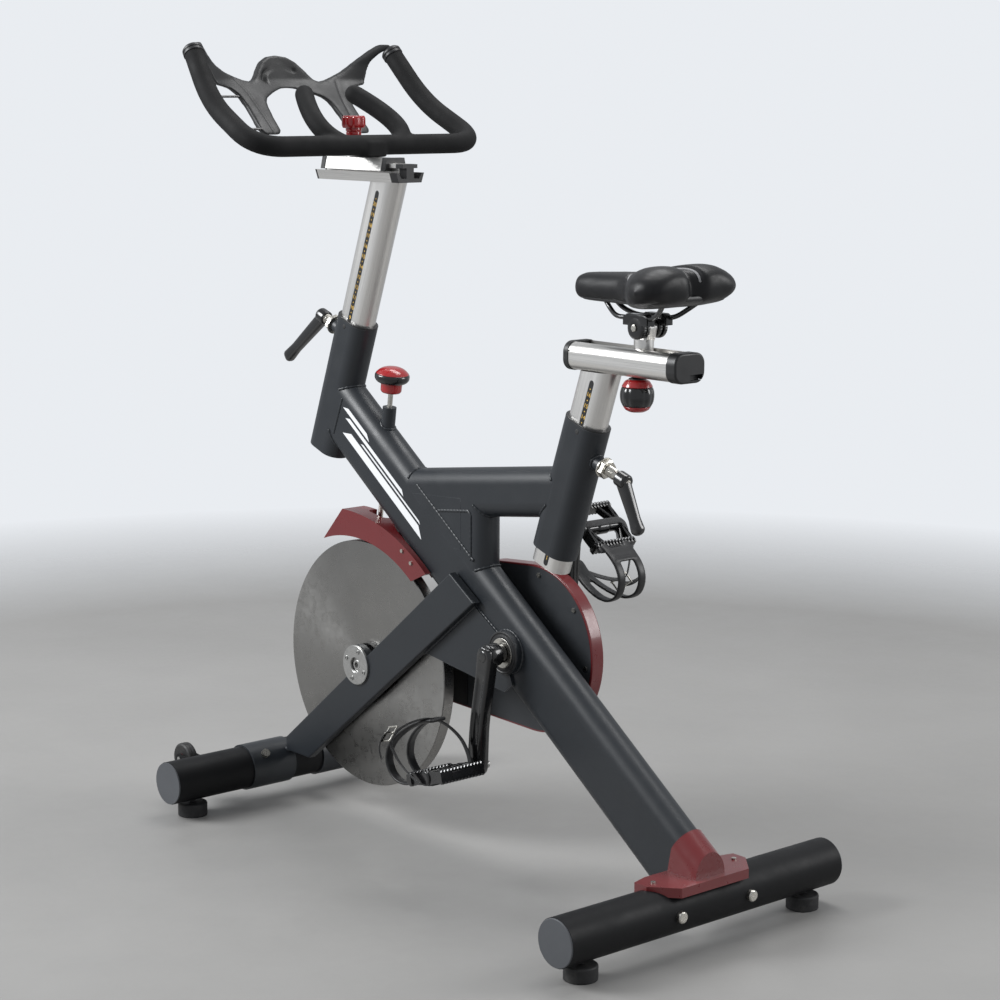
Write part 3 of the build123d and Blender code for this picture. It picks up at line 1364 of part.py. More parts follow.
export_step(saddle_clamp.part, "parts/saddle_clamp.step")

SADDLE_TILT = 5.7
SADDLE_FOOT = (-245.0, 889.5)
SADDLE_HIGH = 48.0
NOSE_AT = 98.0
NOSE_R = 24.0
LOBE_BACK = 67.0
LOBE_Y = 46.0
LOBE_R = 48.0

with BuildPart() as saddle_rails:
    for sign in (1.0, -1.0):
        with BuildLine():
            rail = FilletPolyline(
                (CRANK_X - 194, sign * 11, 878.5),
                (CRANK_X - 218, sign * SADDLE_RAIL_Y, 869.5),
                (CRANK_X - 300, sign * SADDLE_RAIL_Y, 870.5),
                (CRANK_X - 328, sign * 28, 891),
                radius=12.0,
            )
        with BuildSketch(Plane(origin=rail @ 0, z_dir=rail % 0)):
            Circle(SADDLE_RAIL_R - 0.1)
        sweep(path=rail)
saddle_rails.part.label = "saddle_rails"
export_step(saddle_rails.part, "parts/saddle_rails.step")

with BuildPart() as saddle:
    tilt = math.radians(SADDLE_TILT)
    seat_base = Plane(
        origin=(CRANK_X + SADDLE_FOOT[0], 0, SADDLE_FOOT[1]),
        x_dir=(math.cos(tilt), 0, -math.sin(tilt)),
        z_dir=(math.sin(tilt), 0, math.cos(tilt)),
    )
    with BuildSketch(seat_base):
        with Locations((NOSE_AT, 0)):
            Circle(NOSE_R)
        with Locations((0, 0)):
            Circle(38)
        make_hull()
    extrude(amount=SADDLE_HIGH)
    with BuildSketch(seat_base):
        with Locations((-LOBE_BACK, LOBE_Y), (-LOBE_BACK, -LOBE_Y)):
            Circle(LOBE_R)
        with Locations((-15, 0)):
            Circle(40)
        make_hull()
    extrude(amount=SADDLE_HIGH)
    chamfer(saddle.faces().filter_by(GeomType.PLANE).sort_by(Axis.Z)[-1].edges(), length=8.0)
saddle.part.label = "saddle"
export_step(saddle.part, "parts/saddle.step")

# ---------------------------------------------------------------- clamp levers

LEVER_TIP = POST_DEEP / 2 + 0.7
NUT_R = 12.0
LEVER_END_R = 6.5
LEVER_HALF = 7.0


def clamp_lever(rise, at, hub_from, handle_end):
    """Screw with a hex collar, a hub and a handle that reaches to handle_end."""
    hub_at = along(at, rise, hub_from + 9)
    with BuildPart() as lever:
        with BuildSketch(across(rise, *along(at, rise, LEVER_TIP))):
            Circle(LEVER_STUD_R)
        extrude(amount=hub_from + 16 - LEVER_TIP)
        with BuildSketch(across(rise, *along(at, rise, BOSS_OUT + 0.5))):
            RegularPolygon(NUT_R, 6)
        extrude(amount=10)
        with BuildSketch(across(rise, *along(at, rise, BOSS_OUT + 10.5))):
            Circle(8.5)
        extrude(amount=hub_from - BOSS_OUT - 10.5)
        with BuildSketch(across(rise, *along(at, rise, hub_from))):
            Circle(11.5)
        extrude(amount=20)
        with BuildSketch(side(LEVER_HALF)):
            with Locations(hub_at):
                Circle(9)
            with Locations(handle_end):
                Circle(LEVER_END_R)
            make_hull()
        extrude(amount=2 * LEVER_HALF)
    return lever


with BuildPart() as head_lever:
    add(clamp_lever(HEAD_LEAN, HEAD_LEVER_AT, 76.0, (583.0, 742.0)).part)
head_lever.part.label = "head_lever"
export_step(head_lever.part, "parts/head_lever.step")

with BuildPart() as seat_lever:
    add(clamp_lever(180 + SEAT_LEAN, SEAT_LEVER_AT, 84.0, (-248.0, 570.0)).part)
seat_lever.part.label = "seat_lever"
export_step(seat_lever.part, "parts/seat_lever.step")
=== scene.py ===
import json
import math

import bmesh
import bpy
from mathutils import Matrix, Vector
from mathutils.bvhtree import BVHTree
from mathutils.kdtree import KDTree


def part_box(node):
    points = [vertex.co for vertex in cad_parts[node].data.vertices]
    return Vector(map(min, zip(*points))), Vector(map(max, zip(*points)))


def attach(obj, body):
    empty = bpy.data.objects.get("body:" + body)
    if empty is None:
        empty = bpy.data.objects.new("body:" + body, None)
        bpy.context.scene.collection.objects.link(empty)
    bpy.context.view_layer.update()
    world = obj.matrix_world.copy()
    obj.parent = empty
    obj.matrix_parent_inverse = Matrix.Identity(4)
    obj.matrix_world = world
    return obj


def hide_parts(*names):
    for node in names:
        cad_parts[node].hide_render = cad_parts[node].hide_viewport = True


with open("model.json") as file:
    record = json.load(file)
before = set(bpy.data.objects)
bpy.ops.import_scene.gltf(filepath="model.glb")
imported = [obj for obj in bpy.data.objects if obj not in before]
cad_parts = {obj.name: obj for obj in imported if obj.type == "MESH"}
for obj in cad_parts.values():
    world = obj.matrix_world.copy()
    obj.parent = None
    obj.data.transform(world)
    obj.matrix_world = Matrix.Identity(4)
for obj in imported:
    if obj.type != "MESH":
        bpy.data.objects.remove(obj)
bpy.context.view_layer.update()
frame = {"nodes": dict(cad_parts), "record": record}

MM = 0.001

# ---------------------------------------------------------------- places, read from the frame


def middle(node):
    low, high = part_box(node)
    return (Vector(low) + Vector(high)) / 2


CRANK_AT = middle("crank_spindle")
WHEEL_AT = middle("flywheel_axle")
CRANK_X = CRANK_AT.x


def place(x, y, z):
    """A point given in mm, with x counted forward from the crank axle."""
    return Vector((CRANK_X + x * MM, y * MM, z * MM))


def direction(rise):
    """Unit vector in the side view, rising `rise` degrees above forward."""
    angle = math.radians(rise)
    return Vector((math.cos(angle), 0, math.sin(angle)))


UP = Vector((0, 0, 1))
LEFT = Vector((0, 1, 0))
FORWARD = Vector((1, 0, 0))

# heights in mm, and slopes in degrees above forward
CRANK_HEIGHT = 352.0
BAR_POST_RISE = 110.0
SEAT_POST_RISE = 109.2
HEAD_TOP = place(396, 0, 814)
SEAT_TOP = place(-143.4, 0, 710.7)
MAIN_TUBE_HALF = 25.0
MAIN_TUBE_HEIGHT = 356.6
MAIN_ALONG = direction(36)
MAIN_OVER = direction(126)


def clamped(value):
    return min(1.0, max(0.0, value))


def ramp(value):
    """Rises from 0 to 1 with level ends."""
    value = clamped(value)
    return value * value * (3 - 2 * value)


def mirrored(half):
    """Closes the left half of an outline, top to bottom, with its right half."""
    return half + [(-y, z) for y, z in reversed(half[1:-1])]


def new_object(name, data):
    obj = bpy.data.objects.new(name, data)
    bpy.context.collection.objects.link(obj)
    return obj


# ---------------------------------------------------------------- material kit


class Paint:
    """A node material under construction, with its principled shader ready."""

    def __init__(self, name, roughness=0.5, metallic=0.0):
        self.material = bpy.data.materials.new(name)
        self.material.use_nodes = True
        self.tree = self.material.node_tree
        self.shader = self.tree.nodes["Principled BSDF"]
        self.set(self.shader, "Metallic", metallic)
        self.set(self.shader, "Roughness", roughness)
        self.coordinates = self.add("ShaderNodeTexCoord").outputs["Object"]

    def add(self, kind, **values):
        node = self.tree.nodes.new(kind)
        for key, value in values.items():
            setattr(node, key, value)
        return node

    def set(self, node, socket, value):
        if isinstance(value, bpy.types.NodeSocket):
            self.tree.links.new(value, node.inputs[socket])
        else:
            node.inputs[socket].default_value = value

    def noise(self, scale, detail=2.0, roughness=0.5, vector=None, distortion=0.0):
        node = self.add("ShaderNodeTexNoise")
        self.set(node, "Vector", vector or self.coordinates)
        self.set(node, "Scale", scale)
        self.set(node, "Detail", detail)
        self.set(node, "Roughness", roughness)
        self.set(node, "Distortion", distortion)
        return node.outputs["Fac"]

    def cells(self, scale, feature="F1", output="Distance", vector=None):
        node = self.add("ShaderNodeTexVoronoi", feature=feature)
        self.set(node, "Vector", vector or self.coordinates)
        self.set(node, "Scale", scale)
        return node.outputs[output]

    def stretched(self, scale, turn=(0, 0, 0), shift=(0, 0, 0)):
        """Object coordinates scaled unevenly, for grain that runs one way."""
        node = self.add("ShaderNodeMapping", vector_type="TEXTURE")
        self.set(node, "Vector", self.coordinates)
        self.set(node, "Location", shift)
        self.set(node, "Rotation", turn)
        self.set(node, "Scale", scale)
        return node.outputs["Vector"]

    def math(self, operation, first, second=0.5, third=None):
        node = self.add("ShaderNodeMath", operation=operation)
        self.set(node, 0, first)
        self.set(node, 1, second)
        if third is not None:
            self.set(node, 2, third)
        return node.outputs[0]

    def vector(self, operation, first, second=None, output="Vector"):
        node = self.add("ShaderNodeVectorMath", operation=operation)
        self.set(node, 0, first)
        if second is not None:
            self.set(node, 1, second)
        return node.outputs[output]

    def span(self, value, low, high, start=0.3, end=0.7):
        node = self.add("ShaderNodeMapRange")
        self.set(node, "Value", value)
        self.set(node, "From Min", start)
        self.set(node, "From Max", end)
        self.set(node, "To Min", low)
        self.set(node, "To Max", high)
        return node.outputs["Result"]

    def mix(self, amount, first, second, blend="MIX"):
        node = self.add("ShaderNodeMix", data_type="RGBA", blend_type=blend)
        self.set(node, "Factor", amount)
        for socket, value in ((6, first), (7, second)):
            if not isinstance(value, bpy.types.NodeSocket):
                value = (*value, 1.0)
            self.set(node, socket, value)
        return node.outputs[2]

    def edges(self, radius):
        """About 1 on outer edges that wear would reach, 0 on open faces."""
        bevel = self.add("ShaderNodeBevel", samples=4)
        self.set(bevel, "Radius", radius)
        smooth = self.add("ShaderNodeNewGeometry").outputs["Normal"]
        facing = self.vector("DOT_PRODUCT", bevel.outputs["Normal"], smooth, "Value")
        return self.span(facing, 1.0, 0.0, 0.80, 0.985)

    def bump(self, height, distance, strength=1.0, normal=None):
        node = self.add("ShaderNodeBump")
        self.set(node, "Height", height)
        self.set(node, "Distance", distance)
        self.set(node, "Strength", strength)
        if normal is not None:
            self.set(node, "Normal", normal)
        return node.outputs["Normal"]

    def finish(self, colour=None, roughness=None, normal=None, **sockets):
        if colour is not None:
            if not isinstance(colour, bpy.types.NodeSocket):
                colour = (*colour, 1.0)
            self.set(self.shader, "Base Color", colour)
        if roughness is not None:
            self.set(self.shader, "Roughness", roughness)
        if normal is not None:
            self.set(self.shader, "Normal", normal)
        for key, value in sockets.items():
            self.set(self.shader, key.replace("_", " "), value)
        return self.material


def shade(colour, amount):
    return tuple(min(1.0, channel * amount) for channel in colour)


# ---------------------------------------------------------------- materials


def powder_coat(name, colour, roughness=0.42, worn=(0.16, 0.17, 0.18), shine=0.5):
    """Baked powder paint: fine orange peel, faint clouding, edges rubbed a little brighter."""
    paint = Paint(name)
    cloud = paint.noise(9.0, 4.0, 0.6)
    tint = paint.mix(cloud, shade(colour, 0.82), shade(colour, 1.2))
    speck = paint.span(paint.noise(2600.0, 1.0), 0.0, 0.22, 0.62, 0.72)
    tint = paint.mix(speck, tint, shade(colour, 2.6))
    rub = paint.math("MULTIPLY", paint.edges(0.0016), paint.span(paint.noise(70.0, 5.0), 0.0, 0.55))
    tint = paint.mix(rub, tint, worn)
    gloss = paint.span(paint.noise(28.0, 5.0, 0.65), roughness - 0.05, roughness + 0.08)
    peel = paint.bump(paint.noise(720.0, 2.0), 0.00012, 0.55)
    grain = paint.bump(paint.noise(2300.0, 1.0), 0.00004, 0.6, peel)
    return paint.finish(tint, gloss, grain, Specular_IOR_Level=shine)


def moulding(name, colour, roughness=0.4, grain=900.0, depth=0.00005, coat=0.0):
    """Injection-moulded plastic: spark-eroded grain, cloudy gloss and light scuffs."""
    paint = Paint(name)
    cloud = paint.noise(14.0, 3.0)
    tint = paint.mix(cloud, shade(colour, 0.85), shade(colour, 1.15))
    streaks = paint.stretched((0.02, 0.0009, 0.02), (0.5, 0.3, 0.9))
    scuff = paint.span(paint.noise(1.0, 6.0, 0.7, streaks), 0.0, 1.0, 0.63, 0.75)
    gloss = paint.span(paint.noise(40.0, 5.0, 0.6), roughness - 0.06, roughness + 0.07)
    gloss = paint.math("MULTIPLY_ADD", scuff, 0.12, gloss)
    tint = paint.mix(paint.math("MULTIPLY", scuff, 0.12), tint, shade(colour, 2.0))
    pebble = paint.bump(paint.noise(grain, 2.0), depth, 0.6)
    return paint.finish(tint, gloss, pebble, Coat_Weight=coat, Coat_Roughness=0.08)


def brushed(name, colour, turn, roughness=0.3, fine=0.0003, metallic=1.0):
    """Drawn and brushed metal: fine lines along the length that `turn` sets."""
    paint = Paint(name, metallic=metallic)
    lines = paint.noise(1.0, 3.0, 0.7, paint.stretched((0.16, fine, fine), turn))
    broad = paint.noise(1.0, 2.0, 0.5, paint.stretched((0.4, 0.004, 0.004), turn))
    tint = paint.mix(paint.span(lines, 0.0, 1.0), shade(colour, 0.86), shade(colour, 1.06))
    tint = paint.mix(paint.span(broad, 0.0, 0.35), tint, shade(colour, 0.8))
    gloss = paint.span(lines, roughness - 0.07, roughness + 0.09)
    return paint.finish(tint, gloss, paint.bump(lines, 0.00002, 0.5))


def turned_steel(name, colour, roughness=0.3):
    """Faced on a lathe about the flywheel's axle: fine rings and a radial sheen."""
    paint = Paint(name, metallic=1.0)
    arm = paint.vector("SUBTRACT", paint.coordinates, tuple(WHEEL_AT))
    flat = paint.vector("MULTIPLY", arm, (1.0, 0.0, 1.0))
    radius = paint.vector("LENGTH", flat, output="Value")
    around = paint.vector("NORMALIZE", paint.vector("CROSS_PRODUCT", flat, (0.0, 1.0, 0.0)))
    sweep = paint.add("ShaderNodeVectorTransform", vector_type="VECTOR")
    sweep.convert_from = "OBJECT"
    sweep.convert_to = "WORLD"
    paint.set(sweep, "Vector", around)
    groove = paint.add("ShaderNodeTexNoise", noise_dimensions="1D")
    paint.set(groove, "W", radius)
    paint.set(groove, "Scale", 1500.0)
    paint.set(groove, "Detail", 4.0)
    rings = groove.outputs["Fac"]
    cloud = paint.noise(16.0, 5.0, 0.62)
    smear = paint.noise(55.0, 6.0, 0.7, distortion=0.6)
    tint = paint.mix(paint.span(rings, 0.0, 1.0), shade(colour, 0.84), shade(colour, 1.06))
    tint = paint.mix(paint.span(cloud, 0.0, 0.35), tint, shade(colour, 0.72))
    gloss = paint.span(smear, roughness - 0.04, roughness + 0.1)
    normal = paint.bump(rings, 0.000025, 0.5)
    paint.set(paint.shader, "Anisotropic", 0.7)
    paint.set(paint.shader, "Tangent", sweep.outputs["Vector"])
    return paint.finish(tint, gloss, normal)


def machined(name, colour, roughness=0.25, plated=False):
    """Plated or machined hardware: small scratches and darker stains at random."""
    paint = Paint(name, metallic=1.0)
    stain = paint.noise(90.0, 5.0, 0.65)
    scratch = paint.noise(1.0, 4.0, 0.7, paint.stretched((0.012, 0.0006, 0.012), (0.7, 0.2, 0.4)))
    tint = paint.mix(paint.span(stain, 0.0, 0.5), colour, shade(colour, 0.66))
    gloss = paint.span(scratch, roughness - 0.08, roughness + 0.12)
    depth = 0.00001 if plated else 0.00003
    return paint.finish(tint, gloss, paint.bump(scratch, depth, 0.5))


def gloss_black(name, colour):
    """Dipped gloss paint on a forging: soft ripples under a clear skin."""
    paint = Paint(name)
    cloud = paint.noise(35.0, 3.0)
    tint = paint.mix(cloud, shade(colour, 0.8), shade(colour, 1.3))
    rub = paint.math("MULTIPLY", paint.edges(0.0012), paint.span(paint.noise(110.0, 5.0), 0.0, 0.6))
    tint = paint.mix(rub, tint, (0.11, 0.11, 0.11))
    gloss = paint.span(paint.noise(60.0, 4.0), 0.16, 0.3)
    ripple = paint.bump(paint.noise(190.0, 2.0), 0.00018, 0.4)
    return paint.finish(tint, gloss, ripple, Coat_Weight=0.5, Coat_Roughness=0.06)


def foam(name, colour):
    """Closed-cell foam grip: a fine matt pore field whose pits are painted darker as painted shade, with
    a soft sheen at grazing angles.
    """
    paint = Paint(name)
    pores_and_pit_shade = paint.cells(1500.0)
    cloud = paint.noise(22.0, 5.0, 0.6)
    tint = paint.mix(cloud, shade(colour, 0.75), shade(colour, 1.35))
    # painted shade: the pore pits are painted darker than the open surface around them
    tint = paint.mix(paint.span(pores_and_pit_shade, 0.5, 0.0, 0.0, 0.4), tint, shade(colour, 0.4))
    gloss = paint.span(cloud, 0.66, 0.84)
    soft = paint.bump(paint.noise(420.0, 3.0), 0.00015, 0.4)
    normal = paint.bump(pores_and_pit_shade, 0.00012, 0.5, soft)
    return paint.finish(tint, gloss, normal, Specular_IOR_Level=0.22)


def rubber(name, colour, roughness=0.66):
    paint = Paint(name)
    dust = paint.span(paint.noise(38.0, 6.0, 0.7), 0.0, 0.35, 0.5, 0.75)
    tint = paint.mix(dust, colour, (0.12, 0.115, 0.105))
    gloss = paint.span(paint.noise(120.0, 4.0), roughness - 0.08, roughness + 0.12)
    return paint.finish(tint, gloss, paint.bump(paint.noise(850.0, 3.0), 0.00008, 0.5))


def synthetic_leather(name, colour):
    """Smooth saddle cover: a close pebble grain with creases and satin gloss."""
    paint = Paint(name)
    pebble = paint.cells(900.0, "SMOOTH_F1")
    crease = paint.cells(260.0, "DISTANCE_TO_EDGE")
    cloud = paint.noise(20.0, 4.0, 0.6)
    tint = paint.mix(cloud, shade(colour, 0.75), shade(colour, 1.3))
    worn = paint.math("MULTIPLY", paint.edges(0.004), paint.span(paint.noise(45.0, 4.0), 0.0, 0.3))
    tint = paint.mix(worn, tint, shade(colour, 3.0))
    gloss = paint.span(paint.noise(75.0, 5.0, 0.6), 0.34, 0.5)
    fine = paint.bump(pebble, 0.0001, 0.3)
    normal = paint.bump(paint.span(crease, 0.0, 1.0, 0.0, 0.12), 0.00005, 0.25, fine)
    return paint.finish(tint, gloss, normal, Specular_IOR_Level=0.3)


def webbing(name, colour):
    """Woven strap, ribbed across its width."""
    paint = Paint(name)
    wave = paint.add("ShaderNodeTexWave", bands_direction="DIAGONAL")
    paint.set(wave, "Scale", 240.0)
    paint.set(wave, "Distortion", 0.4)
    threads = wave.outputs["Fac"]
    tint = paint.mix(threads, shade(colour, 0.6), shade(colour, 1.5))
    gloss = paint.span(paint.noise(600.0), 0.7, 0.9)
    return paint.finish(tint, gloss, paint.bump(threads, 0.0003, 0.7), Sheen_Weight=0.2)


def felt(name, colour):
    paint = Paint(name)
    hair = paint.noise(1.0, 5.0, 0.8, paint.stretched((0.003, 0.0004, 0.0006), (0.4, 0.3, 0.2)))
    tint = paint.mix(hair, shade(colour, 0.6), shade(colour, 1.7))
    return paint.finish(tint, 0.95, paint.bump(hair, 0.0006, 0.8), Sheen_Weight=0.4)


def printed(name, colour):
    """Printed foil: almost flat, with faint wear and clouded gloss."""
    paint = Paint(name)
    worn = paint.span(paint.noise(170.0, 6.0, 0.7), 0.0, 0.5, 0.62, 0.78)
    tint = paint.mix(worn, colour, shade(colour, 0.62))
    gloss = paint.span(paint.noise(60.0, 3.0), 0.3, 0.48)
    return paint.finish(tint, gloss, paint.bump(paint.noise(900.0), 0.00002, 0.4))


def concrete_floor(name):
    paint = Paint(name)
    cloud = paint.noise(2.3, 6.0, 0.6)
    tint = paint.mix(cloud, (0.25, 0.245, 0.237), (0.31, 0.304, 0.295))
    gloss = paint.span(paint.noise(12.0, 5.0), 0.42, 0.6)
    away = paint.vector("LENGTH", paint.coordinates, output="Value")
    solid = paint.span(away, 1.0, 0.0, FLOOR_CLEAR, FLOOR_EDGE)
    grain = paint.bump(paint.noise(160.0, 4.0), 0.0004, 0.2)
    return paint.finish(tint, gloss, grain, Alpha=solid)


ALONG_X = (0, 0, 0)
BAR_LEAN = (0, math.radians(-BAR_POST_RISE), 0)
SEAT_LEAN = (0, math.radians(-SEAT_POST_RISE), 0)

GRAPHITE = (0.0135, 0.0165, 0.0205)
BLACK_PAINT = (0.0065, 0.0067, 0.0075)
DEEP_RED = (0.14, 0.010, 0.012)
BRIGHT_RED = (0.33, 0.012, 0.014)
ALUMINIUM = (0.80, 0.785, 0.76)

RECIPES = {
    # name: kind of finish, colour, and what that kind takes after it
    "frame_paint": (powder_coat, GRAPHITE, 0.40),
    "tube_paint": (powder_coat, BLACK_PAINT, 0.5, (0.06, 0.06, 0.062), 0.2),
    "cap_grey": (moulding, (0.075, 0.08, 0.088), 0.55, 1300.0, 0.00012),
    "steel_bolt": (machined, (0.62, 0.60, 0.55), 0.24, True),
    "cover_red": (moulding, DEEP_RED, 0.3, 500.0, 0.00002, 0.35),
    "cover_grey": (moulding, (0.026, 0.029, 0.033), 0.5, 1100.0, 0.00006),
    "black_plastic": (moulding, (0.010, 0.010, 0.011), 0.42, 1200.0, 0.00006),
    "black_gloss": (gloss_black, (0.004, 0.004, 0.0044)),
    "rubber": (rubber, (0.016, 0.016, 0.017)),
    "flywheel_steel": (turned_steel, (0.31, 0.305, 0.295), 0.27),
    "machined_steel": (machined, (0.50, 0.50, 0.49), 0.32),
    "aluminium": (brushed, ALUMINIUM, BAR_LEAN, 0.33),
    "aluminium_seat": (brushed, ALUMINIUM, SEAT_LEAN, 0.33),
    "aluminium_rail": (brushed, ALUMINIUM, ALONG_X, 0.3),
    "foam": (foam, (0.0068, 0.0068, 0.0072)),
    "knob_red": (moulding, BRIGHT_RED, 0.22, 300.0, 0.00001, 0.6),
    "saddle_cover": (synthetic_leather, (0.0062, 0.0062, 0.0072)),
    "belt": (rubber, (0.012, 0.012, 0.012), 0.6),
    "spring_steel": (machined, (0.45, 0.45, 0.45), 0.28),
    "felt": (felt, (0.05, 0.044, 0.038)),
    "webbing": (webbing, (0.012, 0.012, 0.013)),
    "stripe_white": (printed, (0.83, 0.84, 0.85)),
    "scale_black": (printed, (0.006, 0.006, 0.006)),
    "scale_yellow": (printed, (0.80, 0.50, 0.10)),
    "console_black": (moulding, (0.0055, 0.0056, 0.006), 0.5, 900.0, 0.00003),
    "reflector": (moulding, (0.012, 0.012, 0.013), 0.2, 260.0, 0.00012, 0.5),
    "tyre": (rubber, (0.012, 0.012, 0.0125), 0.55),
    "seam_grey": (rubber, (0.26, 0.26, 0.265), 0.6),
}
LOOKS = {name: make(name, *values) for name, (make, *values) in RECIPES.items()}

FINISH_OF = {"seat_post": "aluminium_seat", "crank_bearings": "black_gloss",
             "crank_spindle": "black_gloss"}
for node in ("bar_rail", "bar_slider", "seat_rail", "seat_pin"):
    FINISH_OF[node] = "aluminium_rail"

for part in frame["record"]["subparts"]:
    looks = LOOKS[FINISH_OF.get(part["node"], part["material_slot"])]
    for slot in frame["nodes"][part["node"]].material_slots:
        slot.material = looks

# ---------------------------------------------------------------- mesh kit


def piece(name, mesh, looks, body, *stands_for, levels=0):
    """Turns a bmesh into a smooth, finished object that rides on a body."""
    bmesh.ops.remove_doubles(mesh, verts=mesh.verts, dist=1e-6)
    bmesh.ops.recalc_face_normals(mesh, faces=mesh.faces)
    data = bpy.data.meshes.new(name)
    mesh.to_mesh(data)
    mesh.free()
    data.shade_smooth()
    data.set_sharp_from_angle(angle=math.radians(38))
    data.materials.append(LOOKS[looks])
    obj = new_object(name, data)
    if levels:
        modifier = obj.modifiers.new("round", "SUBSURF")
        modifier.levels = levels
        modifier.render_levels = levels
    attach(obj, body)
    if stands_for:
        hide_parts(*stands_for)
    return obj


def bake(obj):
    """Keeps the shape that the modifiers give, and drops the modifiers."""
    bpy.context.view_layer.update()
    graph = bpy.context.evaluated_depsgraph_get()
    data = bpy.data.meshes.new_from_object(obj.evaluated_get(graph))
    obj.modifiers.clear()
    obj.data = data
    data.shade_smooth()


def soften(obj, passes):
    smooth = obj.modifiers.new("soften", "SMOOTH")
    smooth.factor = 0.5
    smooth.iterations = passes


def melt(obj, voxel, passes):
    """Joins overlapping closed shapes into one skin and softens its creases."""
    remesh = obj.modifiers.new("join", "REMESH")
    remesh.mode = "VOXEL"
    remesh.voxel_size = voxel * MM
    soften(obj, passes)
    bake(obj)


def loft(mesh, rings, ends=True, closed=False):
    rows = [[mesh.verts.new(point) for point in ring] for ring in rings]
    pairs = list(zip(rows, rows[1:]))
    if closed:
        pairs.append((rows[-1], rows[0]))
    for first, second in pairs:
        for here in range(len(first)):
            after = (here + 1) % len(first)
            mesh.faces.new((first[here], first[after], second[after], second[here]))
    if ends and not closed:
        mesh.faces.new(list(reversed(rows[0])))
        mesh.faces.new(rows[-1])


def bent(points, radius, steps=6):
    """The path through the points, with each corner rounded. Lengths in metres."""
    path = [points[0]]
    for before, corner, after in zip(points, points[1:], points[2:]):
        back = before - corner
        ahead = after - corner
        cut = min(radius, 0.48 * back.length, 0.48 * ahead.length)
        start = corner + back.normalized() * cut
        end = corner + ahead.normalized() * cut
        for step in range(steps + 1):
            part = step / steps
            path.append(start.lerp(corner, part).lerp(corner.lerp(end, part), part))
    path.append(points[-1])
    return path


def spaced(path, step):
    """The same path with points at equal steps."""
    lengths = [0.0]
    for first, second in zip(path, path[1:]):
        lengths.append(lengths[-1] + (second - first).length)
    count = max(2, round(lengths[-1] / step))
    result = []
    index = 0
    for number in range(count + 1):
        goal = lengths[-1] * number / count
        while index < len(path) - 2 and lengths[index + 1] < goal:
            index += 1
        span = max(lengths[index + 1] - lengths[index], 1e-9)
        result.append(path[index].lerp(path[index + 1], (goal - lengths[index]) / span))
    return result


def oval(half_wide, half_high, count=16, power=1.0):
    """A closed section; a power below 1 squares it."""
    ring = []
    for number in range(count):
        angle = 2 * math.pi * (number + 0.5) / count
        u = math.copysign(abs(math.cos(angle)) ** power, math.cos(angle)) * half_wide
        v = math.copysign(abs(math.sin(angle)) ** power, math.sin(angle)) * half_high
        ring.append((u * MM, v * MM))
    return ring


def sweep(mesh, path, section, up=Vector((0, 0, 1)), grow=None, round_ends=False, closed=False):
    """Carries a section (across, up) along a path. grow(part) scales it on the way."""
    rings = []
    side = None
    last = len(path) - 1
    for number, point in enumerate(path):
        if closed:
            ahead = path[(number + 1) % len(path)] - path[number - 1]
        else:
            ahead = path[min(number + 1, last)] - path[max(number - 1, 0)]
        ahead.normalize()
        if side is None:
            side = ahead.cross(up)
        side = (side - ahead * side.dot(ahead)).normalized()
        over = side.cross(ahead)
        scale = grow(number / last) if grow else 1.0
        rings.append([point + side * u * scale + over * v * scale for u, v in section])
    if round_ends:
        rings = domed(rings)
    loft(mesh, rings, closed=closed)


def domed(rings, steps=4):
    """Adds a rounded end to both ends of a tube."""
    result = []
    for ring, inner in ((rings[0], rings[1]), (rings[-1], rings[-2])):
        centre = sum(ring, Vector()) / len(ring)
        middle_inner = sum(inner, Vector()) / len(inner)
        out = (centre - middle_inner).normalized()
        reach = min((point - centre).length for point in ring)
        caps = []
        for step in range(steps):
            angle = math.radians(88 * (steps - step) / steps)
            lift = out * reach * math.sin(angle)
            caps.append([centre + (point - centre) * math.cos(angle) + lift for point in ring])
        result.append(caps)
    return result[0] + rings + list(reversed(result[1]))


def lathe(mesh, at, axis, profile, soft=0.6, count=48, lobes=0, lobe_depth=0.0):
    """Turns (radius, height) pairs in mm about an axis, with corners softened."""
    axis = axis.normalized()
    first = axis.orthogonal().normalized()
    second = axis.cross(first)
    points = [Vector((max(radius, 0.05), height, 0)) * MM for radius, height in profile]
    rings = []
    for point in bent(points, soft * MM, 3):
        ring = []
        for number in range(count):
            angle = 2 * math.pi * number / count
            radius = point.x
            if lobes:
                radius *= 1 - lobe_depth * (0.5 + 0.5 * math.cos(lobes * angle)) ** 2
            ring.append(at + axis * point.y
                        + (first * math.cos(angle) + second * math.sin(angle)) * radius)
        rings.append(ring)
    loft(mesh, rings)


def slab(mesh, outline, origin, u_way, v_way, thick, soft=0.6, steps=2):
    """Pushes an outline, in mm along u and v, to a thickness, with rounded edges."""
    away = u_way.cross(v_way).normalized() * thick * MM
    near = [mesh.verts.new(origin + (u_way * u + v_way * v) * MM) for u, v in outline]
    far = [mesh.verts.new(vert.co + away) for vert in near]
    faces = [mesh.faces.new(list(reversed(near))), mesh.faces.new(far)]
    for here in range(len(near)):
        after = (here + 1) % len(near)
        faces.append(mesh.faces.new((near[here], near[after], far[after], far[here])))
    if soft:
        edges = list({edge for face in faces[:2] for edge in face.edges})
        bmesh.ops.bevel(mesh, geom=edges, offset=soft * MM, segments=steps, affect="EDGES")


def press(obj, path, reach, depth):
    """Sinks the surface along a path, as a seam or a moulded groove does."""
    tree = KDTree(len(path))
    for number, point in enumerate(path):
        tree.insert(point, number)
    tree.balance()
    moves = []
    for vertex in obj.data.vertices:
        distance = tree.find(vertex.co)[2] / (reach * MM)
        if distance < 1:
            fall = (1 - distance * distance) ** 2
            moves.append((vertex.index, vertex.normal * -depth * MM * fall))
    for index, move in moves:
        obj.data.vertices[index].co += move
    obj.data.update()


# ---------------------------------------------------------------- saddle

